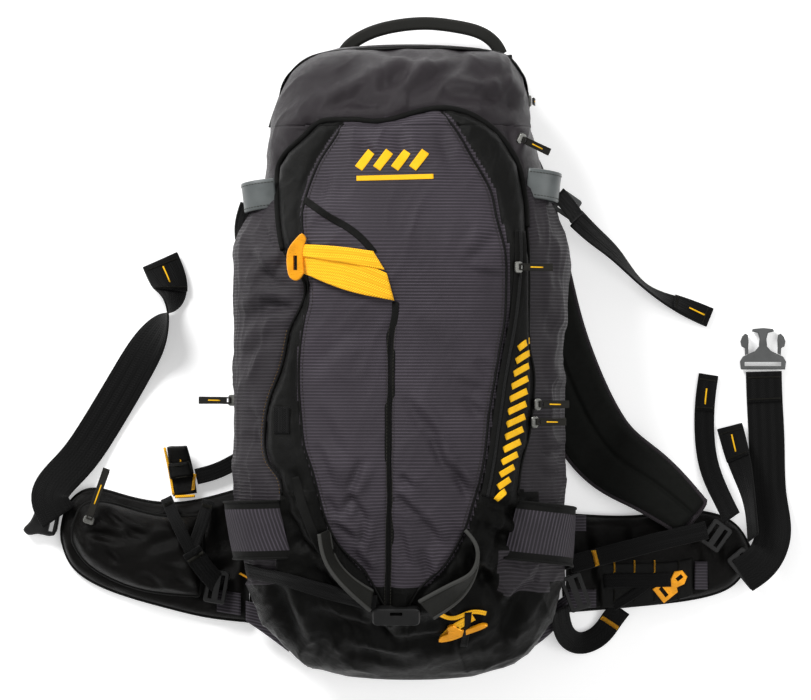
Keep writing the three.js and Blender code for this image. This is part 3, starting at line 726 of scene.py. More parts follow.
def plan(points):
    """Where points are seen from the camera, on the surface the pack lies on."""
    scale = EYE[2] / (EYE[2] - points[..., 2])
    return EYE[0] + (points[..., 0] - EYE[0]) * scale, EYE[1] + (points[..., 1] - EYE[1]) * scale


def smooth(value, low, high):
    t = np.clip((value - low) / (high - low), 0, 1)
    return t * t * (3 - 2 * t)


def skin_field(points, normals):
    """How far the fabric stands off the plain form, and which fabric it is, at every point."""
    u, v = plan(points)
    up = normals[..., 2] > 0.02
    seen = up & (points[..., 2] > 50)
    pocket = ARCH + GUSSET_RIGHT[1:] + [(90, -200), (40, -262), (-20, -280), (-70, -240), (-110, -190)]
    pocket += GUSSET_LEFT[::-1][:-1]
    panel = PANEL_LEFT + PANEL_RIGHT[::-1]
    in_pocket = within(u, v, pocket) & seen
    in_panel = within(u, v, panel) & seen
    rim = distance(u, v, pocket + pocket[:1])
    raised = RAISE * smooth(rim, 0, 13) * in_pocket

    seams = [ARCH, PANEL_LEFT, PANEL_RIGHT, GUSSET_LEFT, GUSSET_RIGHT, CENTRE]
    nearest = np.minimum.reduce([distance(u, v, seam) for seam in seams])
    puff = np.where(seen, 2.6 * (1 - np.exp(-nearest / 16)) - 1.4 * np.exp(-((nearest / 2.4) ** 2)), 1.0)

    lid = (v > 160) & ~in_pocket
    base = (points[..., 1] < -226) | ((v < -143) & ~in_panel & (np.abs(u) < 128))
    side = ~lid & ~base & ~in_pocket
    wrinkle = np.zeros_like(u)
    wrinkle += np.where(in_panel, 1.5 * creases(u, v, FRONT_CREASES), 0)
    wrinkle += np.where(lid, 1.5 * creases(u, v, LID_CREASES), 0)
    wrinkle += np.where(side, 1.5 * creases(u, v, SIDE_CREASES), 0)
    wrinkle += np.where(base | (in_pocket & ~in_panel & (v < -100)), 1.5 * creases(u, v, BASE_CREASES), 0)
    around, along = points[..., 0] + 0.9 * (120 - points[..., 2]) * np.sign(points[..., 0]), points[..., 1]
    low = smooth(-v, 90, 220)
    wrinkle += np.where(in_panel, (1.6 + 2.6 * low) * folds(u, v, 30, 3, 62, 2.2), 0)
    wrinkle += np.where(in_pocket & ~in_panel, 2.8 * folds(u, v, 20, 11, 80, 2.6), 0)
    wrinkle += np.where(lid, 4.6 * folds(around, along, 40, 17, 32, 2.6), 0)
    wrinkle += np.where(side, 4.2 * folds(around, along, 32, 23, 70, 2.6), 0)
    wrinkle += np.where(
        base, 3.4 * folds(around, along, 28, 31, 24, 2.4) + 3.0 * folds(u, v, 17, 37, 118, 2.8), 0
    )
    fine = 1.5 * folds(u, v, 13, 71, 55, 3.2) * smooth(value_noise(u, v, 45, 73), -0.2, 0.7)
    wrinkle += np.where(in_panel, fine * (0.5 + low), fine * 1.3)
    calm = 1 - 0.75 * np.exp(-((nearest / 5) ** 2)) * seen
    height = raised + puff + wrinkle * calm
    for (x0, y0, x1, y1), limit in SLIDER_PATHS:
        beside = distance(points[..., 0], points[..., 1], [(x0, y0), (x1, y1)])
        beside = np.where(points[..., 2] > 90, beside, 99.0)
        near = np.exp(-((beside / 9.5) ** 4))
        height = height * (1 - near) + limit * near
    gap = np.hypot(np.maximum(np.abs(points[..., 1] - 10) - 64, 0), points[..., 2] - 76)
    near = np.exp(-((gap / 8) ** 4)) * (points[..., 0] < -100)
    height = height * (1 - near) + 0.8 * near
    under = smooth(-normals[..., 2], 0.3, 0.8)
    height = height * (1 - under) - 1.0 * under

    kind = np.full(u.shape, "side", dtype=object)
    kind[lid] = "lid"
    kind[in_pocket] = "black"
    kind[in_panel] = "front"
    kind[base] = "base"
    patch_left = (u < -130) & (v > -236) & (v < -200)
    patch_right = (u > 88) & (u < 138) & (v > -243) & (v < -200)
    kind[(patch_left | patch_right) & seen] = "side"
    kind[(points[..., 1] > 158) & ~seen] = "lid"
    kind[normals[..., 2] < -0.5] = "black"
    return height, kind


def grid_normals(points):
    down = np.gradient(points, axis=0)
    round_ = np.gradient(points, axis=1)
    normal = np.cross(round_, down)
    size = np.linalg.norm(normal, axis=-1)[..., None]
    return -normal / np.where(size < 1e-9, 1, size)


# Where zip sliders run, the fabric is held flat: [x0, y0, x1, y1] and its height there.
SLIDER_PATHS = [([106, 84, 106, -88], 9.0), ([124, -50, 124, 92], 0.0), ([121, -66, 121, -126], 0.4)]
COLUMNS = 400
STEP_Y = 2.5


def make_skin():
    ys = np.concatenate([
        np.arange(-323, LID_SPLIT_Y, STEP_Y), [LID_SPLIT_Y], np.arange(LID_SPLIT_Y + STEP_Y, 297.5, STEP_Y)
    ])
    rings, around = zip(*[ring(y, COLUMNS) for y in ys])
    points, around = np.array(rings), np.array(around)
    normals = grid_normals(points)
    height, kind = skin_field(points, normals)
    ends = np.minimum(points[..., 1] + 324, 298 - points[..., 1])
    height = height * smooth(ends, -1, 18)
    fabric = points + normals * height[..., None]
    weave = np.stack([around * MM, points[..., 1] * MM], -1)
    return ys, points, fabric, weave, kind


CAP_DOME = 4.0
CAP_SHARES = [0.03, 0.2, 0.4, 0.6, 0.78, 0.9, 0.97]


def cap_rows(row, outward):
    """Rings that close an end of the body, from its middle out."""
    middle = row.mean(axis=0)

    def bulge(share):
        return np.array([0, outward * CAP_DOME * (1 - share * share), 0])

    return np.array([middle + (row - middle) * s + bulge(s) for s in CAP_SHARES])


def full_skin():
    """The whole fabric, with both ends closed: points, weave and kinds."""
    low, high = cap_rows(FABRIC[0], -1), cap_rows(FABRIC[-1], 1)[::-1]
    points = np.concatenate([low, FABRIC, high])
    count = len(CAP_SHARES)
    weave = np.concatenate([np.repeat(WEAVE[:1], count, 0), WEAVE, np.repeat(WEAVE[-1:], count, 0)])
    weave[:count, :, 1] -= np.array(CAP_SHARES)[::-1, None] * 0.05
    weave[-count:, :, 1] += np.array(CAP_SHARES)[:, None] * 0.05
    kinds = np.concatenate([
        np.full((count, KIND.shape[1]), "base", object), KIND,
        np.full((count, KIND.shape[1]), "lid", object)
    ])
    return points[:, ::-1], weave[:, ::-1], kinds[:-1, 1:][:, ::-1]


def solidify(obj, thickness, lining=None):
    if lining and M[lining].name not in obj.data.materials:
        obj.data.materials.append(M[lining])
    modifier = obj.modifiers.new("thickness", "SOLIDIFY")
    modifier.thickness = thickness * MM
    modifier.offset = -1
    if lining:
        place = [m.name for m in obj.data.materials].index(M[lining].name)
        modifier.material_offset_rim = 0
        modifier.material_offset = place if place else len(obj.data.materials)
    apply_modifiers(obj)


def apply_modifiers(obj):
    graph = bpy.context.evaluated_depsgraph_get()
    graph.update()
    mesh = bpy.data.meshes.new_from_object(obj.evaluated_get(graph))
    obj.modifiers.clear()
    obj.data = mesh


YS, FORM, FABRIC, WEAVE, KIND = make_skin()
SPLIT = int(np.argmin(np.abs(YS - LID_SPLIT_Y)))


def skin_tree():
    build = Build()
    build.grid(FABRIC, WEAVE, "lid")
    return BVHTree.FromPolygons(np.concatenate(build.points).tolist(), build.faces)


SKIN = skin_tree()


def cast(u, v, lift=0.0):
    """The point of the fabric that is seen at a plan point, and the way out of it."""
    aim = Vector((u, v, 0)) - Vector(EYE)
    hit, normal, _, _ = SKIN.ray_cast(Vector(EYE), aim.normalized())
    if hit is None:
        raise ValueError(f"no fabric at {u}, {v}")
    if normal.z < 0:
        normal = -normal
    return np.array(hit) + np.array(normal) * lift, np.array(normal)


def on_fabric(line, lift=0.0, step=3.0, ease=4):
    """A plan line laid on the fabric, with the normals there."""
    flat = spline([(u, v) for u, v in line], step)
    pairs = [cast(u, v, lift) for u, v in flat]
    points = np.array([p for p, _ in pairs])
    normals = np.array([n for _, n in pairs])
    for _ in range(ease):
        points[1:-1] = (points[:-2] + points[1:-1] * 2 + points[2:]) / 4
        normals[1:-1] = (normals[:-2] + normals[1:-1] * 2 + normals[2:]) / 4
    normals /= np.linalg.norm(normals, axis=1)[:, None]
    return points, normals


def add_tape(build, line, width, thickness, kind, lift=0.6, step=3.0, ease=8):
    """A tape sewn flat on the fabric along a plan line."""
    path, normal = on_fabric(line, lift, step, ease)
    along = np.gradient(path, axis=0)
    along /= np.linalg.norm(along, axis=1)[:, None]
    across = np.cross(along, normal)
    across /= np.linalg.norm(across, axis=1)[:, None]
    build.sweep(path, across, np.cross(across, along), strap_section(width, thickness, 6), kind)
    return path, across, normal


def add_body():
    points, weave, kinds = full_skin()
    middle = (points[:-1, :-1] + points[1:, 1:]) / 2
    in_lid = (middle[..., 1] > LID_SPLIT_Y) & (middle[..., 2] > LID_SPLIT_Z)
    body = Build()
    body.grid(points, weave, kinds, skip=in_lid)
    bag = body.object("body_fabric", "pack")
    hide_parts("bag_shell", "front_pocket")
    solidify(bag, FABRIC_THICKNESS, "lining")

    cover = Build()
    cover.grid(points, weave, kinds, skip=~in_lid)
    lid = cover.object("lid_fabric", None)
    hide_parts("lid")
    solidify(lid, FABRIC_THICKNESS, "lining")
    drop_loose(lid)
    drop_loose(bag)
    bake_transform(lid)


def lid_edge():
    """The line where the lid's fabric is cut, with the fabric's normals there."""
    normals = grid_normals(FABRIC)
    right, left, top = [], [], []
    for row in range(SPLIT, len(YS)):
        above = np.where(FABRIC[row, :, 2] > LID_SPLIT_Z)[0]
        if len(above) < 30:
            break
        for side, a, b in ((right, above[0] - 1, above[0]), (left, above[-1] + 1, above[-1])):
            t = (LID_SPLIT_Z - FABRIC[row, a, 2]) / (FABRIC[row, b, 2] - FABRIC[row, a, 2])
            side.append(np.concatenate([FABRIC[row, a] * (1 - t) + FABRIC[row, b] * t, normals[row, b]]))
        top = [np.concatenate([FABRIC[row, k], normals[row, k]]) for k in above[6:-6:5]]
    line = np.array(right[:-1] + top + left[:-1][::-1])
    line[:, 3:] *= np.sign((line[:, 3:] * (line[:, :3] - [0, 200, 60])).sum(axis=1))[:, None]
    for _ in range(6):
        line[1:-1] = (line[:-2] + line[1:-1] * 2 + line[2:]) / 4
    return line[:, :3], line[:, 3:] / np.linalg.norm(line[:, 3:], axis=1)[:, None]


def add_lid_zip():
    path, normal = lid_edge()
    along = np.gradient(path, axis=0)
    along /= np.linalg.norm(along, axis=1)[:, None]
    across = np.cross(along, normal)
    across /= np.linalg.norm(across, axis=1)[:, None]
    upward = np.sign(across[5, 2])
    for name, body, side in (("bag_zip_tape", "pack", -1), ("lid_zip_tape", None, 1)):
        build = Build()
        middle = path + across * upward * side * 3.4 + normal * 0.9
        build.sweep(middle, across, normal, strap_section(7.5, 1.0, 5), "binding")
        coil = path + across * upward * side * 0.9 + normal * 1.5
        build.sweep(coil, across, normal, strap_section(1.7, 1.3, 4), "teeth")
        tape = build.object(name, body)
        if body is None:
            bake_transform(tape)


def drop_loose(obj):
    """Removes the vertices that no face uses."""
    mesh = obj.data
    used = np.zeros(len(mesh.vertices), bool)
    corners = np.empty(len(mesh.loops), dtype=np.int32)
    mesh.loops.foreach_get("vertex_index", corners)
    used[corners] = True
    work = bmesh.new()
    work.from_mesh(mesh)
    work.verts.ensure_lookup_table()
    bmesh.ops.delete(work, geom=[work.verts[i] for i in np.where(~used)[0]], context="VERTS")
    work.to_mesh(mesh)
    work.free()


def add_seams():
    piping = Build()
    path, normal = on_fabric(ARCH, 1.0)
    across, lift = frame_along(path)
    angle = -np.linspace(0, 2 * math.pi, 10, endpoint=False)
    piping.sweep(path, across, lift, np.stack([np.cos(angle) * 2.9, np.sin(angle) * 2.4], 1), "binding")
    for line in (PANEL_LEFT, PANEL_RIGHT):
        points, _ = on_fabric(line, 0.1)
        add_tube(piping, points, 1.3, "black", step=0)
    for line in (GUSSET_LEFT, GUSSET_RIGHT):
        points, _ = on_fabric(line, 0.2)
        add_tube(piping, points, 1.4, "black", step=0)
    piping.object("front_piping", "pack")

    trim = Build()
    add_tape(trim, CENTRE, 10.5, 1.0, "binding", 1.1, ease=40)
    for offset in (-3.9, 3.9):
        line = [(u + offset, v) for u, v in CENTRE[2:]]
        points, normal = on_fabric(line, 1.7, ease=40)
        add_stitches(trim, points, normal, 3.4, 2.1)
    centre_line, _ = on_fabric(CENTRE[3:], 1.8, ease=40)
    add_tube(trim, centre_line, 0.7, "black", step=0, sides=6)
    add_tape(trim, SLIT[:4], 7.0, 0.9, "binding", 0.7)
    for line, inset in ((PANEL_LEFT[:-4], 3.6), (PANEL_RIGHT[:-4], -3.6)):
        points, normal = on_fabric([(u + inset, v) for u, v in line], 0.2)
        add_stitches(trim, points, normal, 3.6, 2.2, "dark_thread", 0.26)
    points, normal = on_fabric([(u - 3, v) for u, v in GUSSET_LEFT[4:]], 0.2)
    add_stitches(trim, points, normal, 3.4, 1.8, "dull_thread", 0.22)
    trim.object("front_trim", "pack")

    zips = Build()
    add_tape(zips, ZIP_RIGHT, 13, 0.7, "binding", 0.8, ease=20)
    add_tape(zips, ZIP_RIGHT, 3.4, 1.4, "teeth", 1.5, 2.0, ease=45)
    add_tape(zips, [(-125.5, -58), (-125.5, -85)], 17, 0.8, "webbing", 0.6)
    zips.object("front_zip_tape", "pack")


# Generic marks: a chevron over a bar, and a column of slanted dashes. No lettering.
def add_marks():
    marks = Build()
    strokes = [
        ([(-49, 180), (-36, 197)], 8.5), ([(-31, 180), (-18, 197)], 8.5), ([(-13, 180), (0, 197)], 8.5),
        ([(5, 180), (18, 197)], 8.5), ([(-51, 170), (26, 172)], 5.0),
    ]
    for index, (line, width) in enumerate(strokes):
        add_tape(marks, line, width, 0.5, "print", 0.35 + 0.05 * index, 2.0)
    column = [(116, 4), (113, -24), (110, -52), (107, -80), (103, -104), (98, -128), (93, -147)]
    centre = spline(column, 12.5)
    for k, (u, v) in enumerate(centre):
        wide = 3.5 + 5.5 * math.sin(math.pi * (0.12 + 0.8 * k / (len(centre) - 1)))
        add_tape(
            marks, [(u - wide, v - 4.2), (u, v), (u + wide, v + 4.2)], 6.2, 0.6, "print", 0.6, 2.0, ease=2
        )
    marks.object("yellow_marks", "pack")


# ---------------------------------------------------------------- cords and straps


def body_of(node):
    return frame["nodes"][node]["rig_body"]


def add_hem(build, path, across, normal, width, thickness, start, end, kind, side=1):
    """A second layer folded over the strap between two distances along it."""
    run = lengths(path)
    at = np.linspace(start, end, max(5, int((end - start) / 2.5)))
    pick = [
        np.stack([np.interp(at, run, a[:, j]) for j in range(3)], 1)
        for a in (path[:, :3], across, normal)
    ]
    lifted = pick[0] + pick[2] * side * (thickness + 0.15)
    build.sweep(lifted, pick[1], pick[2], strap_section(width - 0.4, thickness), kind)
    for place in (0.12, 0.88):
        k = int(place * (len(at) - 1))
        along = np.cross(pick[2][k], pick[1][k])
        top = lifted[k] + pick[2][k] * side * (thickness / 2 + 0.2)
        add_tack(build, top, pick[1][k], along, width - 5, "dark_thread", 0.7, int(width / 1.2))


def add_cross_tack(build, path, across, normal, width, at, kind="yellow", thickness=1.8, side=1, long=4.5):
    """A wide bar of thread across the strap at a distance along it."""
    run = lengths(path)
    point, over, up = (
        np.array([np.interp(at, run, a[:, j]) for j in range(3)])
        for a in (path[:, :3], across, normal)
    )
    along = np.cross(up, over)
    add_tack(
        build, point + up * side * (thickness / 2 + 0.5), over, along, width - 3, kind, long / 2,
        int(width / 0.9)
    )


def add_bar(build, path, across, normal, at, length, width, height, kind="print", shift=0.0):
    """A small flat mark lying along a strap."""
    run = lengths(path)
    stations = np.linspace(at - length / 2, at + length / 2, 5)
    pick = [
        np.stack([np.interp(stations, run, a[:, j]) for j in range(3)], 1)
        for a in (path[:, :3], across, normal)
    ]
    build.sweep(
        pick[0] + pick[2] * height + pick[1] * shift, pick[1], pick[2], strap_section(width, 0.5, 4), kind
    )


def strap(
    name, points, width, thickness=1.8, kind="webbing", hems=(), tacks=(), bars=(), side=1,
    node=None, step=3.0
):
    build = Build()
    path, across, normal = add_strap(build, points, width, thickness, kind, step)
    total = lengths(path)[-1]
    for start, end in hems:
        start, end = (total + start if start < 0 else start), (total + end if end <= 0 else end)
        add_hem(build, path, across, normal, width, thickness, start, end, kind, side)
    for at in tacks:
        add_cross_tack(
            build, path, across, normal, width, total + at if at < 0 else at, "yellow", thickness, side
        )
    for at, length, across_size in bars:
        at = total + at if at < 0 else at
        add_bar(build, path, across, normal, at, length, across_size, side * (1.5 * thickness + 0.45))
    obj = build.object(name + "_fabric", body_of(node or name))
    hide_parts(node or name)
    return obj, path


def add_cords():
    tails = {
        "compression_tail_right": (20, [
            (166, 128, 79, 10), (184, 112, 58, 25), (208, 92, 32, 50), (237, 62, 16, 75), (270, 44, 8, 40),
            (302, 31, 2.4, 0),
        ], [(-40, 0)], [(-15, 17, 1.5)]),
        "belt_webbing_left": (38, [
            (-347, -168, 24, 0), (-356, -146, 22, 8), (-334, -116, 9, 8), (-309, -81, 4, 0),
            (-282, -36, 4.6, 5),
            (-258, 4, 12, 25), (-240, 33, 21, 80), (-236, 56, 16, 140), (-247, 88, 5, 180),
        ], [(-34, 0)], [(-17, 18, 1.5)]),
        "shoulder_tail_right": (20, [
            (322, -168, 33, 20), (312, -146, 18, 20), (300, -112, 5, 0), (297, -60, 2.4, 0),
            (301, -26, 2.4, 0),
        ], [(-36, 0)], [(-22, 16, 1.5)]),
    }
    for name, (width, points, hems, bars) in tails.items():
        side = -1 if name == "belt_webbing_left" else 1
        obj, path = strap(name, points, width, hems=hems, bars=bars, side=side)


def over_front(points):
    """Strap points whose height is given above the fabric of the front."""
    result = []
    for x, y, height, roll in points:
        hit, _, _, _ = SKIN.ray_cast(Vector((x, y, 400)), Vector((0, 0, -1)))
        result.append((x, y, hit.z + height, roll))
    return result


def add_straps():
    strap("belt_webbing_right", [
        (333, -226, 32.4, 0), (352, -211, 32.4, 6), (364, -184, 20, 8), (361, -148, 4.4, 0),
        (359, -95, 2.2, 0),
        (357, -52, 2.2, 0), (356, -23, 4, 0),
    ], 36, hems=[(-30, 0)])
    strap(
        "shoulder_webbing_right", [(161, -214, 46), (200, -204, 44), (250, -191, 44), (297, -180, 42)], 18,
        tacks=[26]
    )
    strap("stabilizer_tail_right", [
        (343, -188, 38, 70), (340, -150, 24, 65), (331, -112, 12, 30), (322, -78, 2.6, 0),
    ], 26, hems=[(-34, 0)], bars=[(-18, 18, 1.5)])
    strap("shoulder_webbing_left", [(-170, -112, 8), (-190, -122, 9), (-211, -128, 9)], 16)
    strap(
        "shoulder_tail_left", [(-222, -146, 8, 0), (-226, -120, 8, 12), (-230, -98, 12, 35)], 24, 5,
        "black", hems=[(18, 34)]
    )
    strap("stabilizer_loop_right", [
        (151, -258, 44, 35), (157, -284, 26, 20), (174, -294, 8, 0), (192, -286, 5, 0), (203, -272, 8, 0),
        (212, -259, 17, 0),
    ], 22, tacks=[-20])
    for name, points in (
        (
            "ski_loop_left",
            [(-80, -176, 9, 65), (-74, -203, 12, 65), (-55, -227, 13, 60), (-35, -243, 10, 45)]
        ),
        (
            "ski_loop_right",
            [
                (57, -176, 12, 90), (66, -190, 14, 90), (63, -214, 15, 80), (45, -234, 12, 40),
                (18, -252, 9, 20)
            ]
        ),
    ):
        build = Build()
        path, across, normal = add_strap(build, over_front(points), 24, 2.0, "coated", 2.0)
        for edge in (-1, 1):
            line = path[:, :3] + across * edge * 11.2
            add_tube(build, line, 1.9, "coated_edge", step=0)
            row = path[:, :3] + across * edge * 8.0 + normal * 1.1
            add_stitches(build, row, normal, 3.2, 2.0, "dark_thread", 0.25)
        obj = build.object(name + "_fabric", body_of(name))
        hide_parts(name)
    build = Build()
    bands = (
        (
            [(-103, 92, 7, 0), (-62, 88, 6, 0), (-20, 72, 3, 0)],
            [(-103, 74, 6, 0), (-60, 56, 5, 0), (-13, 46, 2.5, 0)]
        ),
        (
            [(-107, 100, 9, 0), (-72, 98, 8.5, 0), (-33, 93, 3, 0)],
            [(-101, 88, 8.5, 0), (-62, 82, 8.5, 0), (-22, 75, 4, 0)]
        ),
    )
    for upper, lower in bands:
        edges = [
            [p[:3] for p in over_front([tuple(q) for q in spline(edge, 6.0)])]
            for edge in (upper, lower)
        ]
        add_pad(build, *edges, 2.2, "yellow", radius=1.8, sink=0.4, dome=0.0, columns=24)
    obj = build.object("ski_sling_fabric", body_of("ski_sling"))
    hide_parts("ski_sling")
    handle = [
        (-64, 293, 24), (-57, 302, 26), (-36, 314, 30), (-8, 321, 31), (20, 323, 31), (48, 320, 31),
        (74, 313, 30),
        (88, 302, 26), (93, 293, 24),
    ]
    build = Build()
    path, across, normal = add_strap(build, handle, 13, 4.6, "coated", 2.0)
    for edge in (-1, 1):
        add_stitches(
            build, path[:, :3] + across * edge * 4.2 + normal * 2.4, normal, 3.4, 2.1, "dark_thread", 0.28
        )
    obj = build.object("haul_handle_fabric", body_of("haul_handle"))
    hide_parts("haul_handle")


# ---------------------------------------------------------------- padded pieces


def rounded(distance_in, radius):
    return np.sqrt(np.clip(1 - (1 - np.clip(distance_in / radius, 0, 1)) ** 2, 0, 1))


def dense(count):
    t = np.linspace(0, 1, count)
    return 0.65 * (0.5 - 0.5 * np.cos(math.pi * t)) + 0.35 * t


def add_pad(
    build, edge_a, edge_b, thick, kind, under=None, radius=9.0, sink=0.35, dome=0.25, detail=None,
    columns=40, rows=None
):
    """A cushion between two edge lines. Returns its outline, at the height of the seam."""
    a, b = spline(edge_a, 2.0)[:, :3], spline(edge_b, 2.0)[:, :3]
    rows = rows or max(12, int(lengths(a)[-1] / 3))
    t, s = dense(rows), dense(columns)
    a, b = (
        np.stack([np.interp(t, np.linspace(0, 1, len(e)), e[:, j]) for j in range(3)], 1)
        for e in (a, b)
    )
    base = a[:, None] * (1 - s)[None, :, None] + b[:, None] * s[None, :, None]
    width = np.linalg.norm(b - a, axis=1)[:, None]
    middle = (a + b) / 2
    run = lengths(middle)
    across = (b - a) / width
    along = np.gradient(middle, axis=0)
    along /= np.linalg.norm(along, axis=1)[:, None]
    normal = np.cross(across, along)
    normal /= np.linalg.norm(normal, axis=1)[:, None]
    normal *= np.sign(normal[:, 2:])
    near = np.minimum(s, 1 - s)[None] * width
    end = np.minimum(run, run[-1] - run)[:, None]
    crown = rounded(near, radius) * rounded(end, radius)
    swell = crown * (1 - dome + dome * (1 - (2 * s - 1) ** 2)[None])
    top = thick * (sink + (1 - sink) * swell)
    if detail is not None:
        top = top + detail(base[..., 0], base[..., 1]) * crown
    low = thick * sink * (1 - rounded(near, radius * 0.8) * rounded(end, radius * 0.8))
    upper = base + normal[:, None] * top[..., None]
    lower = base + normal[:, None] * low[..., None]
    weave = np.stack(
        [np.broadcast_to(s[None] * width, top.shape), np.broadcast_to(run[:, None], top.shape)], -1
    ) * MM
    facing = np.sign(np.cross(across[0], along[0])[2])
    first, second = (upper, lower) if facing > 0 else (lower, upper)
    kinds = (kind, under or kind) if facing > 0 else (under or kind, kind)
    build.grid(first, weave, kinds[0])
    build.grid(second[:, ::-1], weave[:, ::-1], kinds[1])
    seam = thick * sink
    outline = np.concatenate([a + normal * seam, (b + normal * seam)[::-1]])
    return outline, middle + normal * thick, normal


def pad(name, node, edge_a, edge_b, thick, kind, slot, fill=0.7, binding=None, blended=False, **shape):
    build = Build()
    outline, _, _ = add_pad(build, edge_a, edge_b, thick, kind, **shape)
    if binding:
        edge = Build()
        add_tube(
            edge, outline[np.r_[0 : len(outline) : 2]], 2.8 if binding == "purple_mesh" else 1.9, binding,
            step=2.5, closed=True
        )
        edge.object(name + "_binding", body_of(node))
    obj = build.object(name + "_cover", None if blended else body_of(node))
    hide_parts(node)
    return obj


def flat(points, z):
    return [(x, y, z) for x, y in points]


def add_belt():
    left_top = [
        (-158, -138), (-200, -150), (-240, -155), (-285, -147), (-318, -141), (-338, -156), (-345, -180)
    ]
    left_low = [
        (-158, -272), (-200, -267), (-235, -259), (-278, -247), (-315, -232), (-336, -214), (-345, -190)
    ]
    right_top = [(158, -166), (230, -168), (285, -163), (325, -175), (341, -198)]
    right_low = [(158, -262), (240, -255), (300, -246), (328, -232), (341, -208)]
    left_items = [
        [-302, -158, -280, -180, 3.2, 5], [-280, -180, -257, -187, 3.0, 5],
        [-321, -180, -280, -189, 3.2, 5], [-300, -200, -289, -213, 2.6, 4.5],
        [-226, -190, -262, -196, 3.0, 6], [-239, -154, -215, -203, 3.6, 5],
        [-196, -155, -216, -200, 3.6, 5], [-205, -225, -170, -214, 3.0, 6],
        [-180, -150, -170, -200, 3.0, 6], [-236, -226, -200, -246, 3.0, 6],
        [-270, -222, -240, -240, 2.4, 6], [-330, -165, -316, -205, 2.4, 6],
    ]
    right_items = [
        [176, -172, 184, -240, 2.6, 6], [160, -190, 200, -184, 2.4, 6], [214, -178, 220, -206, 2.2, 6],
        [280, -172, 292, -240, 2.6, 7],
        [306, -180, 312, -232, 2.4, 6], [180, -226, 196, -250, 2.4, 5], [236, -170, 262, -178, 2.2, 5],
    ]
    for side, top, low, items in (
        ("left", left_top, left_low, left_items), ("right", right_top, right_low, right_items)
    ):
        node = f"belt_wing_{side}"

        def wrinkled(x, y, items=items):
            return 1.3 * creases(x, y, items) + 3.4 * folds(x, y, 26, 41, 12, 2.2) - 1.8

        obj = pad(
            node, node, flat(top, 0.2), flat(low, 0.2), 20, "belt", "black_nylon", 0.7, "binding", True,
            under="mesh", radius=11, detail=wrinkled
        )
        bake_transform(obj)
    pocket_top = [(-207, -166), (-250, -166), (-296, -154), (-322, -156), (-333, -178)]
    pocket_low = [(-207, -246), (-262, -240), (-300, -226), (-322, -210), (-333, -192)]

    def pocket_wrinkles(x, y):
        return 1.7 * creases(x, y, left_items) + 5.0 * folds(x, y, 24, 47, 160, 2.2) - 3.0

    pad(
        "belt_pocket", "belt_pocket", flat(pocket_top, 19.5), flat(pocket_low, 19.5), 26, "belt",
        "black_nylon", 0.5, "binding", radius=16, sink=0.12, detail=pocket_wrinkles
    )


def add_back():
    lumbar_top = [(-143, -150), (-100, -132), (0, -126), (98, -132), (141, -150)]
    lumbar_low = [(-143, -250), (-92, -264), (0, -268), (90, -264), (141, -250)]

    def ribbed(x, y):
        return 2.2 * np.exp(-(((np.abs(x) - 46) / 4) ** 2)) + 1.8 * np.exp(-((x / 4) ** 2))

    def squares(x, y):
        return 2.0 * np.exp(-((((y + 6) % 58) - 29) ** 2) / 12)

    top, low = flat(lumbar_top, 29.6), flat(lumbar_low, 29.6)
    pad(
        "lumbar_pad", "lumbar_pad", top, low, -29.4, "mesh", "mesh_foam", 0.7, "binding", radius=12,
        sink=0.3, detail=ribbed
    )
    ys = [-296, -240, -160, -80, 0, 80, 160, 230, 280]
    edges = [[(0.9 * float(edge(y)), y) for y in ys] for edge in (left_edge, right_edge)]

    def quilted(x, y):
        lines = np.minimum(np.abs((x + y) % 46 - 23), np.abs((x - y) % 46 - 23))
        return 1.6 * np.exp(-((lines / 2.4) ** 2))

    pad(
        "back_panel", "back_panel", flat(edges[0], 35.6), flat(edges[1], 35.6), -5.4, "mesh",
        "black_nylon", 0.4, "binding", radius=5, sink=0.4, dome=0.0, detail=quilted, columns=90
    )
    strap(
        "sternum_webbing", [(-58.6, 112, 2.1), (4, 112, 2.1), (66.6, 112, 2.1)], 20,
        hems=[(2, 24), (-24, -2)], side=-1
    )
    for side, x in (("left", -60), ("right", 55)):
        name = f"back_pad_{side}"
        edges = [
            (x - 36, -90), (x - 37, 0), (x - 37, 90), (x - 36, 187)
        ], [(x + 36, -90), (x + 37, 0), (x + 37, 90), (x + 36, 187)]
        pad(
            name, name, flat(edges[0], 29.6), flat(edges[1], 29.6), -11, "mesh", "mesh_foam", 0.7,
            "binding", radius=9, sink=0.3, detail=squares
        )


def add_shoulder_straps():
    right = [
        (48, 255, 21.4, 28), (66, 224, 14, 30), (98, 180, 7.2, 31), (118, 120, 7.2, 32), (133, 50, 7.2, 33),
        (150, -12, 7.2, 34),
        (194, -98, 12, 33), (236, -130, 30, 29), (283, -168, 33, 20),
    ]
    left = [
        (-50, 255, 21.4, 28), (-68, 224, 14, 30), (-94, 180, 7.2, 31), (-108, 120, 7.2, 31),
        (-116, 50, 7.2, 31), (-122, -30, 7.2, 31),
        (-128, -112, 7.2, 26),
    ]
    for side, points in (("right", right), ("left", left)):
        name = f"shoulder_strap_{side}"
        path = spline(points, 6.0)
        across, normal = frame_along(path)
        drop = normal * -6.5
        edges = [path[:, :3] + across * sign * path[:, 3:4] + drop for sign in (-1, 1)]

        def channels(x, y, path=path):
            line = distance(x, y, [(p[0] + 4, p[1]) for p in path])
            return -3.0 * np.exp(-((line / 2.0) ** 2)) + 1.2 * folds(x, y, 34, 61, 60, 2.2)

        pad(
            name, name, edges[0], edges[1], 13, "foam", "mesh_foam", 0.75, "purple_mesh", radius=8,
            sink=0.4, detail=channels, columns=48
        )


# ---------------------------------------------------------------- pieces wrapped on the bag


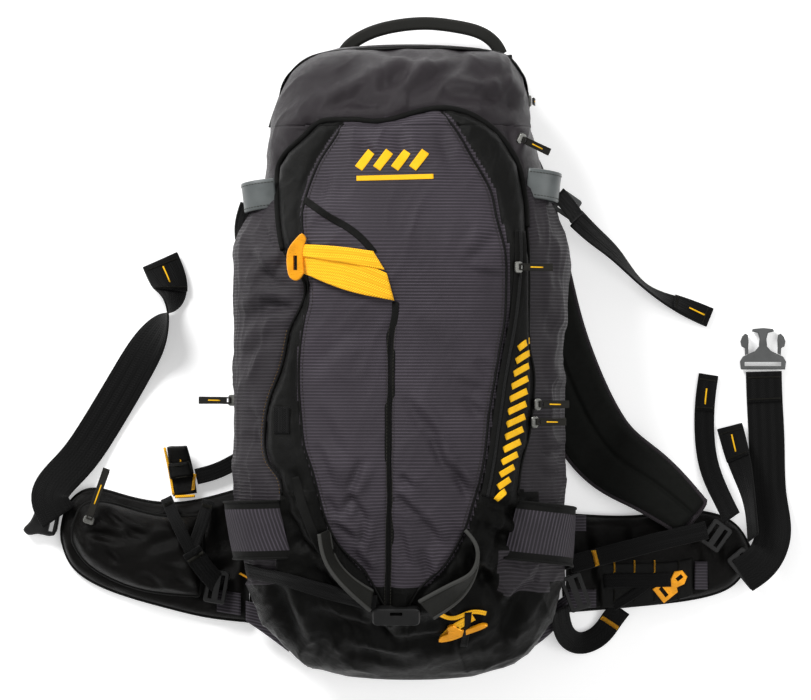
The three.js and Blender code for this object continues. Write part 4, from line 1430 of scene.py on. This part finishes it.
def wrapped_patch(build, y_range, ends, lift, thickness, kinds, parts=28, rows=18, tilt=0.0):
    """A band round the bag's side.

    ends gives, for a y, the inner plan u and the lower z, and lift the height by share.
    """
    ys = np.linspace(*y_range, rows)
    share = np.linspace(0, 1, parts)
    outer, inner, weave = [], [], []
    for y in ys:
        points, _ = ring(float(y), COLUMNS)
        u_inner, z_low = ends(y)
        sign = np.sign(u_inner)
        side = np.where((np.sign(points[:, 0]) == sign) & (points[:, 2] > z_low - 2))[0]
        order = side[np.argsort(-points[side][:, 2])]
        run_points = points[order]
        keep = (np.abs(plan(run_points)[0]) >= abs(u_inner)) & (run_points[:, 2] >= z_low)
        run_points = run_points[keep]
        tangent = np.gradient(run_points, axis=0)
        normal = np.stack([tangent[:, 2], np.zeros(len(tangent)), -tangent[:, 0]], 1) * sign * -1
        normal /= np.linalg.norm(normal, axis=1)[:, None]
        at = np.linspace(0, 1, len(run_points))
        p, n = (
            np.stack([np.interp(share, at, a[:, j]) for j in range(3)], 1)
            for a in (run_points, normal)
        )
        height = lift(share, (y - y_range[0]) / (y_range[1] - y_range[0]))[:, None]
        outer.append(p + n * (height + thickness))
        inner.append(p + n * height)
        outer[-1][:, 1] -= tilt * share
        inner[-1][:, 1] -= tilt * share
        weave.append(np.stack([share * lengths(p)[-1], np.full(parts, y)], 1) * MM)
    outer, inner, weave = np.array(outer), np.array(inner), np.array(weave)
    for grid in (outer, inner, weave):
        for _ in range(SMOOTHING_ROUNDS):
            grid[1:-1] = (grid[:-2] + 2 * grid[1:-1] + grid[2:]) / 4
    facing = sign > 0
    first, second = (outer, inner) if facing else (outer[:, ::-1], inner[:, ::-1])
    build.grid(first, weave, kinds)
    build.grid(second[:, ::-1], weave[:, ::-1], "black")
    return outer


def add_wrapped():
    for side, inner_top, inner_low in (("left", -126, -113.5), ("right", 107, 93.5)):
        node = f"side_sleeve_{side}"
        build = Build()

        def ends(y, a=inner_low, b=inner_top):
            return a + (b - a) * (y + 202) / 54, 92.0

        def lift(share, t):
            arch = 17 * np.sin(math.pi * np.clip(share, 0, 1) ** 0.85) ** 1.3
            return 2.5 + arch + 0.8 * np.sin(9 * share + 3 * t)

        rows = np.array(["binding"] * 3 + ["sleeve"] * 17 + ["binding"] * 3, dtype=object)
        outer = wrapped_patch(
            build, (-202, -147), ends, lift, 1.4, rows[:, None], parts=44, rows=24,
            tilt=4 if side == "left" else 14
        )
        for row in (outer[0], outer[-1]):
            add_tube(build, row, 1.3, "binding", step=0)
        obj = build.object(node + "_fabric", body_of(node))
        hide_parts(node)


def add_side_tabs():
    """Folded grey loops that stand out from the sides, with the short straps that hang from them."""
    for side, sign, edge, y in (("left", -1, 131, 151), ("right", 1, 119, 161)):
        build = Build()
        arch = [
            (edge - 3, y, 151), (edge + 14, y - 2, 150), (edge + 25, y - 4, 143), (edge + 28, y - 5, 131),
            (edge + 21, y - 4, 118), (edge + 2, y - 2, 112)
        ]
        path = spline([(sign * p[0], p[1], p[2]) for p in arch], 2.0)
        along = np.gradient(path, axis=0)
        along /= np.linalg.norm(along, axis=1)[:, None]
        across = np.tile([0.12 * sign, 0.99, 0.0], (len(path), 1))
        across -= along * (across * along).sum(axis=1)[:, None]
        across /= np.linalg.norm(across, axis=1)[:, None]
        normal = np.cross(across, along)
        build.sweep(path, across, normal, strap_section(29, 2.4), "tab_plastic")
        for offset in (-11, 11):
            out = 1 if (normal[0, 2] > 0) else -1
            add_stitches(
                build, path + across * offset + normal * out * 1.3, normal * out, 3.2, 2.0, "dark_thread",
                0.3
            )
        obj = build.object(
            f"compression_tab_{side}_loop", body_of(f"compression_tab_{side}")
        )
        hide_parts(f"compression_tab_{side}")
    hang = Build()
    add_strap(hang, [(-156, 140, 126, 0), (-162, 122, 112, -20), (-164, 104, 96, -45)], 15, 1.8, "webbing")
    add_strap(hang, [(-151, 118, 124, -10), (-158, 96, 118, -30), (-166, 70, 104, -60)], 13, 1.8, "webbing")
    add_strap(hang, [(147, 150, 128, 0), (158, 139, 112, 10), (166, 128, 96, 10)], 16, 1.8, "webbing")
    hang.object("side_compression_straps", "pack")


def add_small_straps():
    build = Build()
    path, _, _ = add_tape(
        build, [(-158, -221), (-120, -230), (-78, -243), (-33, -254)], 15, 1.6, "webbing", 3.4, ease=30
    )
    add_tape(build, [(-112, -128), (-104, -160), (-92, -190), (-84, -204)], 9, 1.2, "binding", 0.9)
    for x in (-66, 95):
        add_strap(
            build, [(x, 272, 28.2, 0), (x, 281, 28.0, 0), (x - math.copysign(1, x), 291, 26.5, 0)], 20,
            2.4, "webbing"
        )
    build.object("base_straps", "pack")

    wing = Build()
    for points, width, kind in (
        ([(-240, -149, 26, 0), (-227, -176, 49, 0), (-214, -202, 50, 0)], 12, "webbing"),
        ([(-198, -151, 24, 0), (-205, -176, 44, 0), (-214, -202, 51, 0)], 12, "webbing"),
        ([(-214, -200, 52, 0), (-199, -222, 36, 0), (-186, -236, 28, 10)], 20, "webbing"),
    ):
        path, across, normal = add_strap(wing, points, width, 1.7, kind, 3.0)
        add_cross_tack(wing, path, across, normal, width, 9, "dark_thread", 1.7)
    for middle, turn in (((-205, -222, 27.5), 40), ((-162, -225, 48), 30)):
        c, k = math.cos(math.radians(turn)), math.sin(math.radians(turn))
        add_tack(wing, middle, (c, -k, 0), (k, c, 0), 9, "yellow", 1.0)
    add_pad(
        wing, flat([(-190, -240), (-166, -244)], 19.0), flat([(-190, -262), (-166, -266)], 19.0), 2.0,
        "sleeve", radius=2, dome=0.0
    )
    wing.object("left_wing_straps", "left_wing")

    for sign, low_y in ((-1, -271), (1, -262)):
        join = Build()
        edges = [
            (sign * 161, low_y + 20), (sign * 140, -256), (sign * 118, -262)
        ], [(sign * 161, low_y), (sign * 142, -284), (sign * 118, -302)]
        add_pad(
            join, flat(edges[0], 24.0), flat(edges[1], 24.0), 6, "sleeve", radius=4, detail=lambda x,
            y: 1.5 * folds(x, y, 14, 91, 40, 2.4)
        )
        join.object("hip_gusset_left" if sign < 0 else "hip_gusset_right", "pack")

    edging = Build()
    add_tube(edging, [(-233.5, -146, 9.5), (-238, -120, 11), (-242, -99, 19)], 1.3, "yellow")
    add_tube(edging, [(-232, -148, 12.0), (-212, -147, 12.0)], 1.5, "yellow")
    add_tack(edging, (-213, -133, 13), (0.1, 0.99, 0), (1, 0, 0), 16, "yellow", 1.6)
    add_tack(edging, (-227, -118, 12.6), (0.12, 0.98, 0.1), (1, 0, 0), 14, "yellow", 0.8)
    edging.object("left_tail_edging", "pack")

    panel = Build()
    add_pad(
        panel, flat([(190, -214), (230, -213), (262, -212), (284, -208)], 19.0),
        flat([(192, -258), (230, -257), (262, -252), (284, -246)], 19.0), 3.2, "black", radius=3, sink=0.4,
        dome=0.05
    )
    for x in (206, 226, 246, 270):
        add_tack(
            panel, (x, -217, 23.0), (0, 1, 0), (1, 0, 0), 12, "yellow" if x < 250 else "dark_thread", 0.8
        )
        add_tack(panel, (x, -246, 23.0), (0, 1, 0), (1, 0, 0), 12, "dark_thread", 0.8)
    path, across, normal = add_strap(
        panel, [(196, -232, 24, 0), (216, -231, 25.5, 0), (236, -231, 24, 0), (262, -230, 26, 0)], 14, 1.6,
        "webbing", 3.0
    )
    path, across, normal = add_strap(
        panel, [(246, -229, 22, 0), (226, -244, 24, 0), (205, -257, 21, 0)], 9, 1.6, "webbing", 3.0
    )
    for low_x, high_x, low_y, high_y in (
        (160, 188, -258, -240), (286, 299, -240, -212), (163, 178, -182, -166)
    ):
        edges = [flat([(low_x, y), ((low_x + high_x) / 2, y), (high_x, y)], 19.2) for y in (high_y, low_y)]
        add_pad(panel, *edges, 2.4, "sleeve", radius=2, dome=0.0)
    panel.object("gear_loops", "right_wing")

    hook = Build()
    add_tape(hook, [(36, -288), (50, -276), (66, -267)], 9, 1.2, "yellow", 2.0)
    add_tape(hook, [(56, -296), (60, -262)], 7, 1.2, "webbing", 3.4)
    add_tape(hook, [(28, -262), (46, -270), (62, -262), (78, -264)], 5, 1.2, "yellow", 1.6)
    hook.object("lower_hook_loops", "pack")


def add_pull_marks():
    """A short yellow bar on each zip pull, and a raised rib along each long side of it."""
    for name, node in frame["nodes"].items():
        if not name.endswith("_pull"):
            continue
        points = np.array([v.co for v in node.data.vertices]) / MM
        middle = points.mean(axis=0)
        _, _, axes = np.linalg.svd(points - middle, full_matrices=False)
        long_way, up = axes[0], axes[2]
        up = up if up[2] > 0 else -up
        middle = (points.max(axis=0) + points.min(axis=0)) / 2
        half = np.abs((points - middle) @ long_way).max()
        path = middle + np.linspace(-0.35, 0.4, 5)[:, None] * half * long_way + up * 1.15
        across = np.cross(long_way, up)
        build = Build()
        build.sweep(path, np.tile(across, (5, 1)), np.tile(up, (5, 1)), strap_section(1.2, 0.5, 4), "print")
        for edge in (-1, 1):
            spots = np.linspace(-0.9, 0.9, 12)[:, None] * half
            line = middle + spots * long_way + across * edge * 2.9 + up * 0.8
            build.sweep(
                line, np.tile(across, (12, 1)), np.tile(up, (12, 1)),
                [[0.5, 0], [0, -0.5], [-0.5, 0], [0, 0.5]], "pull"
            )
        build.object(name + "_mark", body_of(name))


def finish_hardware():
    """Materials and softened edges for the CAD pieces that stay."""
    rules = [
        ("_slider", "zip_metal", 0.35), ("_pull", "pull", 0.2), ("sling_hook", "amber", 0.4),
        ("lower_hook", "amber", 0.4), ("gear_buckle", "amber", 0.4), ("prong", "grey_plastic", 0.4),
        ("plug", "grey_plastic", 0.5), ("compression_lock", "grey_plastic", 0.5),
        ("frame_sheet", "sheet", 0.2),
        ("stay", "alloy", 0.3), ("", "plastic", 0.5),
    ]
    for name, node in frame["nodes"].items():
        if node.hide_render:
            continue
        _, kind, width = next(rule for rule in rules if rule[0] in name)
        node.data.materials.clear()
        node.data.materials.append(M[kind])
        soften = node.modifiers.new("edges", "BEVEL")
        soften.width = width * MM
        soften.segments = 2
        soften.limit_method = "ANGLE"

# ---------------------------------------------------------------- the whole pack

add_camera()
add_surroundings()
add_cords()
add_body()
add_lid_zip()
add_seams()
add_marks()
add_straps()
add_belt()
add_back()
add_shoulder_straps()
add_wrapped()
add_side_tabs()
add_small_straps()
add_pull_marks()
finish_hardware()

bpy.context.view_layer.update()
